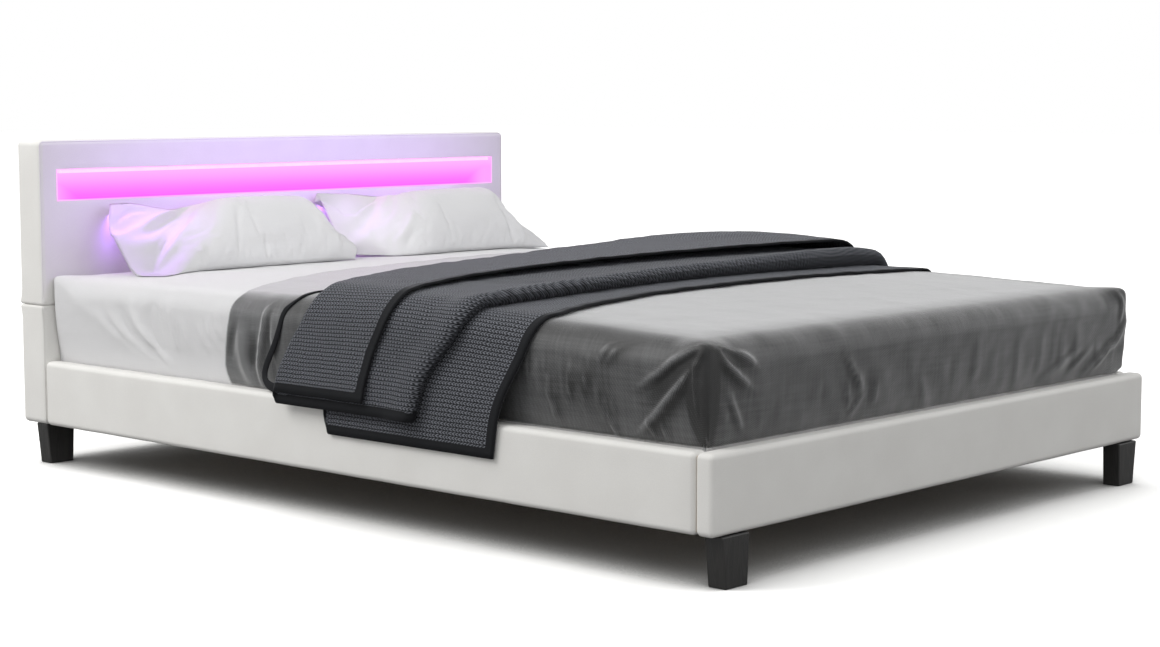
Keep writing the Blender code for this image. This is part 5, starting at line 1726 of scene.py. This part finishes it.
    def _loop(self) -> Piece:
        """Makes the dark hem that shows past the upper layer's edge on the near side.

        Returns:
            The finished piece.
        """
        route = np.array([
            (-0.58, 0.08, 0.4715), (-0.63, 0.105, 0.4705), (-0.68, 0.118, 0.4688),
            (-0.7313, 0.099, 0.4661), (-0.7467, 0.099, 0.4603), (-0.764, 0.112, 0.4462),
            (-0.7731, 0.124, 0.4302), (-0.7774, 0.136, 0.3884), (-0.7775, 0.154, 0.3501),
            (-0.779, 0.177, 0.3116), (-0.781, 0.182, 0.2886), (-0.786, 0.17, 0.274),
            (-0.793, 0.145, 0.267), (-0.8, 0.11, 0.266),
        ])
        stops = np.arange(len(route))
        places = np.interp(np.linspace(0, 1, 60), np.linspace(0, 1, len(route)), stops)
        line = np.stack([np.interp(places, stops, column) for column in route.T], axis=1)
        line[2:-2] = np.stack([eased(column)[2:-2] for column in line.T], axis=1)
        along = np.gradient(line, axis=0)
        along /= np.linalg.norm(along, axis=1, keepdims=True)
        upward = smooth(0.42, 0.468, line[:, 2])
        outward = np.stack([upward - 1.02, np.zeros(len(line)), upward], axis=1)
        outward -= along * np.einsum("ij,ij->i", outward, along)[:, None]
        outward /= np.linalg.norm(outward, axis=1, keepdims=True)
        beside = np.cross(along, outward)
        angles = np.linspace(0, math.tau, 13)
        wide = np.interp(np.linspace(0, 1, len(line)), (0, 0.3, 0.7, 1), (0.0042, 0.0055, 0.0092, 0.011))
        grid = line[:, None, :] + outward[:, None, :] * (0.0026 * np.sin(angles))[None, :, None]
        grid = grid + beside[:, None, :] * np.cos(angles)[None, :, None] * wide[:, None, None]
        cloth = np.stack(np.meshgrid(np.linspace(0, 0.4, len(line)), angles * 0.004, indexing="ij"), axis=2)
        skin = grid_skin(grid, cloth)
        skin.marks["edge"] = np.zeros(len(skin.points))
        return skin.to_object("throw_hem_loop", self.material, "throw", "knit")

    def _share_of(self, places: Array, height: float) -> float:
        """Row number, as a fraction, where the near side reaches a height."""
        rows = np.arange(len(places) // 3)
        return float(np.interp(height, places[rows, 1], rows))


@dataclass(frozen=True)
class PillowForm:
    """The lines that a pillow in its case is shaped from.

    Shares run from left to right along the front and back seams, and from the front
    seam up to the back seam along both ends.
    """

    low: Knots
    high: Knots
    left: Knots
    right: Knots
    filled: Table
    lip: Table = ()
    lip_depth: float = 0.0
    front: float = 0.07
    back: float = 0.05
    size: Pair = (0.69, 0.24)
    drape: tuple[Fold, ...] = ()
    creases: tuple[Fold, ...] = ()


@dataclass
class Pillow:
    """A pillow in a loose case: shaped from its seams, blown up as cloth and creased."""

    side: str
    shape: PillowForm
    bed: MattressForm
    material: Material
    cap: float = 0.01
    columns: int = 117
    rows: int = 41
    frames: int = 24

    def build(self) -> None:
        """Shapes the case, runs the cloth and adds the creases."""
        skin, cloth, front, hold = self._case()
        node = f"pillow_{self.side}"
        piece = skin.to_object(f"{node}_soft", self.material, node, "white_cotton")
        self._inflate(piece, hold)
        self._crease(piece, skin, cloth, front)
        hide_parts(node)

    def _case(self) -> tuple[Skin, Array, Array, Array]:
        """Makes the closed case.

        Returns:
            The skin, the cloth place of each point, its share of the front side and how
            firmly it is held in the simulation.
        """
        shape = self.shape
        u, v = np.linspace(0, 1, self.columns), np.linspace(0, 1, self.rows)
        v = v - 0.05 * np.sin(2 * math.pi * v)
        low, high = spline(shape.low, u), spline(shape.high, u)
        seam = low[:, None] + (high - low)[:, None] * v[None, :, None]
        ends = ((shape.left, 0, 1 - smooth(0.0, 0.34, u)), (shape.right, -1, smooth(0.72, 1.0, u)))
        for edge, end, share in ends:
            bent = spline(edge, v) - (low[end] + (high[end] - low[end]) * v[:, None])
            seam = seam + bent[None] * share[:, None, None]
        rise = high - low
        facing = np.stack([np.zeros(len(u)), -rise[:, 2], rise[:, 1]], axis=1)
        facing /= np.linalg.norm(facing, axis=1, keepdims=True)
        cloth = np.zeros((len(u), len(v), 3))
        cloth[:, :, 0], cloth[:, :, 1] = u[:, None] * shape.size[0], v[None, :] * shape.size[1]
        flat = cloth.reshape(-1, 3)
        draped = sum(fold.lift(flat, upward(flat)) for fold in shape.drape).reshape(len(u), len(v))
        draped = draped * (smooth(0, 0.08, v) * smooth(1.0, 0.94, v))[None, :]
        start = np.interp(v, *zip(*shape.filled))[None, :]
        inside = np.clip((u[:, None] - start) / (1 - start), 0, 1)
        puff = 1 - (1 - np.clip(inside / 0.34, 0, 1)) ** 2.2
        puff = puff * (1 - (1 - np.clip((1 - inside) / 0.22, 0, 1)) ** 2.2)
        full = (0.045 + 0.955 * puff) * ((1 - np.abs(2 * v - 1) ** 2.6) ** 0.7)[None, :]
        front = shape.front * full + draped
        if shape.lip:
            lip = np.interp(u, *zip(*shape.lip))[:, None]
            depth = shape.lip_depth * smooth(0.42, 0.3, u)[:, None]
            front = front - depth * smooth(0.0, 0.035, v[None, :] - lip) * smooth(1.0, 0.9, v)[None, :]
        back = shape.back * full - draped
        over = seam + facing[:, None] * front[:, :, None]
        under = seam - facing[:, None] * back[:, :, None]
        ring = np.concatenate([over, under[:, -2:0:-1]], axis=1)
        ring_cloth = np.concatenate([cloth, cloth[:, -2:0:-1] * (1, -1, 1)], axis=1)
        count = ring.shape[1]
        index = np.arange(len(u) * count).reshape(len(u), count)
        following = np.roll(index, -1, axis=1)
        corners = (index[:-1], index[1:], following[1:], following[:-1])
        faces = [tuple(int(i) for i in face) for face in zip(*(corner.ravel() for corner in corners))]
        for column, flip in ((0, False), (len(u) - 1, True)):
            line = index[column]
            for k in range(len(v) - 1):
                near, far = line[k], line[k + 1]
                near_back, far_back = line[(count - k) % count], line[count - k - 1]
                face = tuple(int(i) for i in dict.fromkeys((near, far, far_back, near_back)))
                faces.append(face[::-1] if flip else face)
        places, spots = ring.reshape(-1, 3), ring_cloth.reshape(-1, 3)
        pairs = [tuple((float(spots[i][0]), float(spots[i][1])) for i in face) for face in faces]
        on_front = np.zeros((len(u), count))
        on_front[:, 1:len(v) - 1] = 1.0
        held = np.concatenate([1 - puff, (1 - puff)[:, -2:0:-1]], axis=1)
        seams = np.zeros((len(u), count))
        seams[:, [0, len(v) - 1]] = 1.0
        return Skin(places, faces, pairs), spots, on_front.ravel(), np.maximum(held, seams).ravel()

    def _inflate(self, piece: Piece, hold: Array) -> None:
        """Blows the filled part up as cloth for a moment, with a limit on how far it goes.

        Args:
            piece: The case.
            hold: How firmly each point is held, from 0 to 1.
        """
        activate(piece)
        group = piece.vertex_groups.new(name="held")
        for index, weight in enumerate(hold):
            group.add([index], float(weight), "REPLACE")
        start = points_of(piece.data)
        cloth = piece.modifiers.new("Cloth", "CLOTH")
        for key, value in {
            "vertex_group_mass": group.name, "quality": 4, "use_pressure": True,
            "uniform_pressure_force": 3.0, "tension_stiffness": 12.0, "compression_stiffness": 6.0,
            "bending_stiffness": 0.2, "shrink_min": -0.022,
        }.items():
            setattr(cloth.settings, key, value)
        cloth.settings.effector_weights.gravity = 0.0
        cloth.collision_settings.use_collision = False
        cloth.point_cache.frame_start, cloth.point_cache.frame_end = 1, self.frames
        scene = bpy.context.scene
        for frame_number in range(1, self.frames + 1):
            scene.frame_set(frame_number)
        bpy.ops.object.modifier_apply(modifier=cloth.name)
        scene.frame_set(1)
        move = points_of(piece.data) - start
        length = np.maximum(np.linalg.norm(move, axis=1, keepdims=True), 1e-9)
        set_points(piece.data, start + move * np.minimum(1.0, self.cap / length))
        log.info("%s: cloth moved %.1f mm on average", piece.name, 1000 * float(length.mean()))

    def _crease(self, piece: Piece, skin: Skin, cloth: Array, front: Array) -> None:
        """Adds the creases of the front, and keeps the case off the bed and the headboard.

        Args:
            piece: The case.
            skin: The skin that it was made from.
            cloth: Cloth place of each point.
            front: One for each point of the front side.
        """
        skin.points = points_of(piece.data)
        total = 0.0007 * ripple(skin.points, 0.08, 31 if self.side == "left" else 37)
        for fold in self.shape.creases:
            total = total + front * fold.lift(cloth, upward(cloth))
        skin.push(total)
        points = skin.points
        points[:, 2] = np.maximum(points[:, 2], self.bed.height(points) + 0.0016)
        points[:, 1] = np.minimum(points[:, 1], self.bed.head + 0.002)
        set_points(piece.data, points)


def activate(piece: Piece) -> None:
    """Makes one object the only selected and the active one."""
    for other in bpy.context.view_layer.objects:
        other.select_set(False)
    piece.select_set(True)
    bpy.context.view_layer.objects.active = piece


def points_of(mesh: bpy.types.Mesh) -> Array:
    """Places of a mesh's points, one row each."""
    flat = np.empty(len(mesh.vertices) * 3)
    mesh.vertices.foreach_get("co", flat)
    return flat.reshape(-1, 3)


def set_points(mesh: bpy.types.Mesh, points: Array) -> None:
    """Moves a mesh's points to new places."""
    mesh.vertices.foreach_set("co", points.ravel())
    mesh.update()


def on_case(across: float, up: float) -> Triple:
    """A place on the pillow case, laid flat."""
    return (across, up, 0.0)


PILLOW_FORMS = {
    "left": PillowForm(
        low=(
            (0.0, -0.633, 0.72, 0.464), (0.14, -0.53, 0.757, 0.467), (0.52, -0.277, 0.78, 0.467),
            (0.8, -0.089, 0.78, 0.467), (1.0, 0.022, 0.776, 0.467),
        ),
        high=(
            (0.0, -0.62, 0.955, 0.63), (0.09, -0.566, 0.95, 0.631), (0.19, -0.5, 0.945, 0.619),
            (0.27, -0.45, 0.94, 0.611), (0.36, -0.395, 0.95, 0.615), (0.52, -0.29, 0.955, 0.62),
            (0.76, -0.14, 0.955, 0.62), (0.9, -0.07, 0.95, 0.612), (1.0, -0.035, 0.94, 0.595),
        ),
        left=(
            (0.0, -0.633, 0.72, 0.464), (0.12, -0.65, 0.75, 0.4645), (0.3, -0.667, 0.795, 0.471),
            (0.5, -0.669, 0.835, 0.508), (0.7, -0.666, 0.885, 0.549), (0.86, -0.645, 0.925, 0.59),
            (1.0, -0.62, 0.955, 0.63),
        ),
        right=(
            (0.0, 0.022, 0.776, 0.467), (0.16, 0.036, 0.79, 0.498), (0.26, 0.012, 0.802, 0.503),
            (0.5, -0.002, 0.85, 0.534), (0.75, -0.021, 0.9, 0.57), (1.0, -0.035, 0.94, 0.595),
        ),
        filled=((0.0, 0.05), (0.3, 0.09), (0.6, 0.19), (0.85, 0.29), (1.0, 0.33)),
        drape=traced((
            (-16, 24, 0, 2, (10, 45), (50, 55), (100, 70), (130, 85)),
            (12, 22, 0, 2, (-20, 155), (50, 142), (90, 135), (140, 150)),
            (-16, 13, 0, 2, (280, 238), (210, 225), (165, 205), (130, 182), (100, 165)),
            (12, 9, 0.3, 1.6, (250, 242), (175, 226), (125, 203), (85, 180), (30, 168), (-30, 162)),
            (-9, 11, 0, 2, (0, 205), (30, 190), (55, 183)),
            (-9, 6, 0.3, 1.6, (110, 228), (65, 224), (20, 205)),
            (5, 6, 0.3, 1.6, (100, 218), (60, 212), (30, 198)),
        ), on_case),
        creases=traced((
            (9, 7.5, 0.35, 1.6, (215, 170), (175, 143), (131, 110), (95, 86), (60, 60)),
            (-10, 11, 0, 2, (200, 182), (155, 152), (115, 125), (80, 100)),
            (-6, 5.5, 0, 2, (140, 112), (165, 102), (195, 100)),
            (-5, 9, 0, 2, (300, 225), (235, 205), (190, 180)),
            (-3, 8, 0, 2, (120, 85), (150, 75), (210, 78)),
            (-3, 12, 0, 2, (250, 35), (340, 30), (450, 34)),
            (-3, 9, 0, 2, (600, 30), (635, 35), (670, 50)),
        ), on_case),
    ),
    "right": PillowForm(
        low=(
            (0.0, 0.115, 0.87, 0.469), (0.06, 0.15, 0.835, 0.468), (0.11, 0.18, 0.8, 0.467),
            (0.17, 0.22, 0.784, 0.467), (0.46, 0.42, 0.79, 0.4675), (0.78, 0.63, 0.782, 0.466),
            (0.92, 0.7, 0.77, 0.464), (1.0, 0.742, 0.757, 0.463),
        ),
        high=(
            (0.0, 0.047, 0.955, 0.635), (0.2, 0.18, 0.955, 0.627), (0.35, 0.27, 0.955, 0.618),
            (0.5, 0.36, 0.955, 0.618), (0.7, 0.48, 0.955, 0.62), (0.85, 0.57, 0.955, 0.616),
            (0.94, 0.62, 0.95, 0.611), (1.0, 0.655, 0.945, 0.603),
        ),
        left=(
            (0.0, 0.115, 0.87, 0.469), (0.25, 0.073, 0.89, 0.508), (0.5, 0.065, 0.915, 0.55),
            (0.8, 0.06, 0.945, 0.605), (1.0, 0.047, 0.955, 0.635),
        ),
        right=(
            (0.0, 0.742, 0.757, 0.463), (0.1, 0.737, 0.772, 0.478), (0.2, 0.7, 0.8, 0.498),
            (0.32, 0.665, 0.83, 0.515), (0.45, 0.69, 0.86, 0.528), (0.7, 0.7, 0.9, 0.56),
            (0.88, 0.685, 0.93, 0.592), (1.0, 0.655, 0.945, 0.603),
        ),
        filled=((0.0, 0.1), (0.4, 0.13), (0.8, 0.25), (1.0, 0.33)),
        lip=(
            (0.0, 0.86), (0.03, 0.8), (0.07, 0.65), (0.11, 0.66), (0.164, 0.746), (0.25, 0.86), (0.32, 0.94),
            (0.4, 1.0), (1.0, 1.2),
        ),
        lip_depth=0.032,
        drape=traced((
            (10, 11, 0.4, 1.6, (270, 236), (175, 178), (105, 122), (50, 60)),
            (-12, 22, 0, 2, (210, 205), (120, 155), (60, 110), (10, 50)),
            (-13, 9, 0, 2, (570, 120), (540, 55), (530, 20), (540, -10)),
            (8, 10, 0, 2, (600, 110), (575, 50), (575, 10)),
            (-6, 7, 0, 2, (600, 30), (640, 20), (690, 12)),
        ), on_case),
        creases=traced((
            (9, 7.5, 0.35, 1.6, (215, 125), (175, 85), (135, 55), (100, 40)),
            (-6, 6, 0, 2, (200, 165), (165, 140), (130, 120)),
            (-6, 6, 0, 2, (235, 195), (200, 175), (165, 165)),
            (-6, 6, 0, 2, (185, 115), (155, 98), (125, 90)),
            (-6, 7, 0, 2, (300, 228), (250, 215), (210, 190)),
            (-7, 8, 0, 2, (165, 55), (140, 35), (120, 15)),
            (-5, 7, 0, 2, (120, 60), (100, 40), (85, 15)),
        ), on_case),
    ),
}


def main() -> None:
    logging.basicConfig(level=logging.INFO, format="%(name)s: %(message)s")
    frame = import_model()
    Studio().build()
    materials = Materials(MaterialMaker(Effects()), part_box("niche_tray"))
    materials.build()
    materials.dress_nodes(frame)
    PaddedBoxes(materials.by_slot["leather"]).build()
    BackStaples().build(materials.by_slot["steel"])
    form = MattressForm()
    Bedding(form, materials.by_slot["white_cotton"], materials.by_slot["satin"]).build()
    Throw(form, materials.by_slot["knit"]).build()
    for side, shape in PILLOW_FORMS.items():
        Pillow(side, shape, form, materials.by_slot["white_cotton"]).build()
    NicheLight().build()


if __name__ == "__main__":
    main()
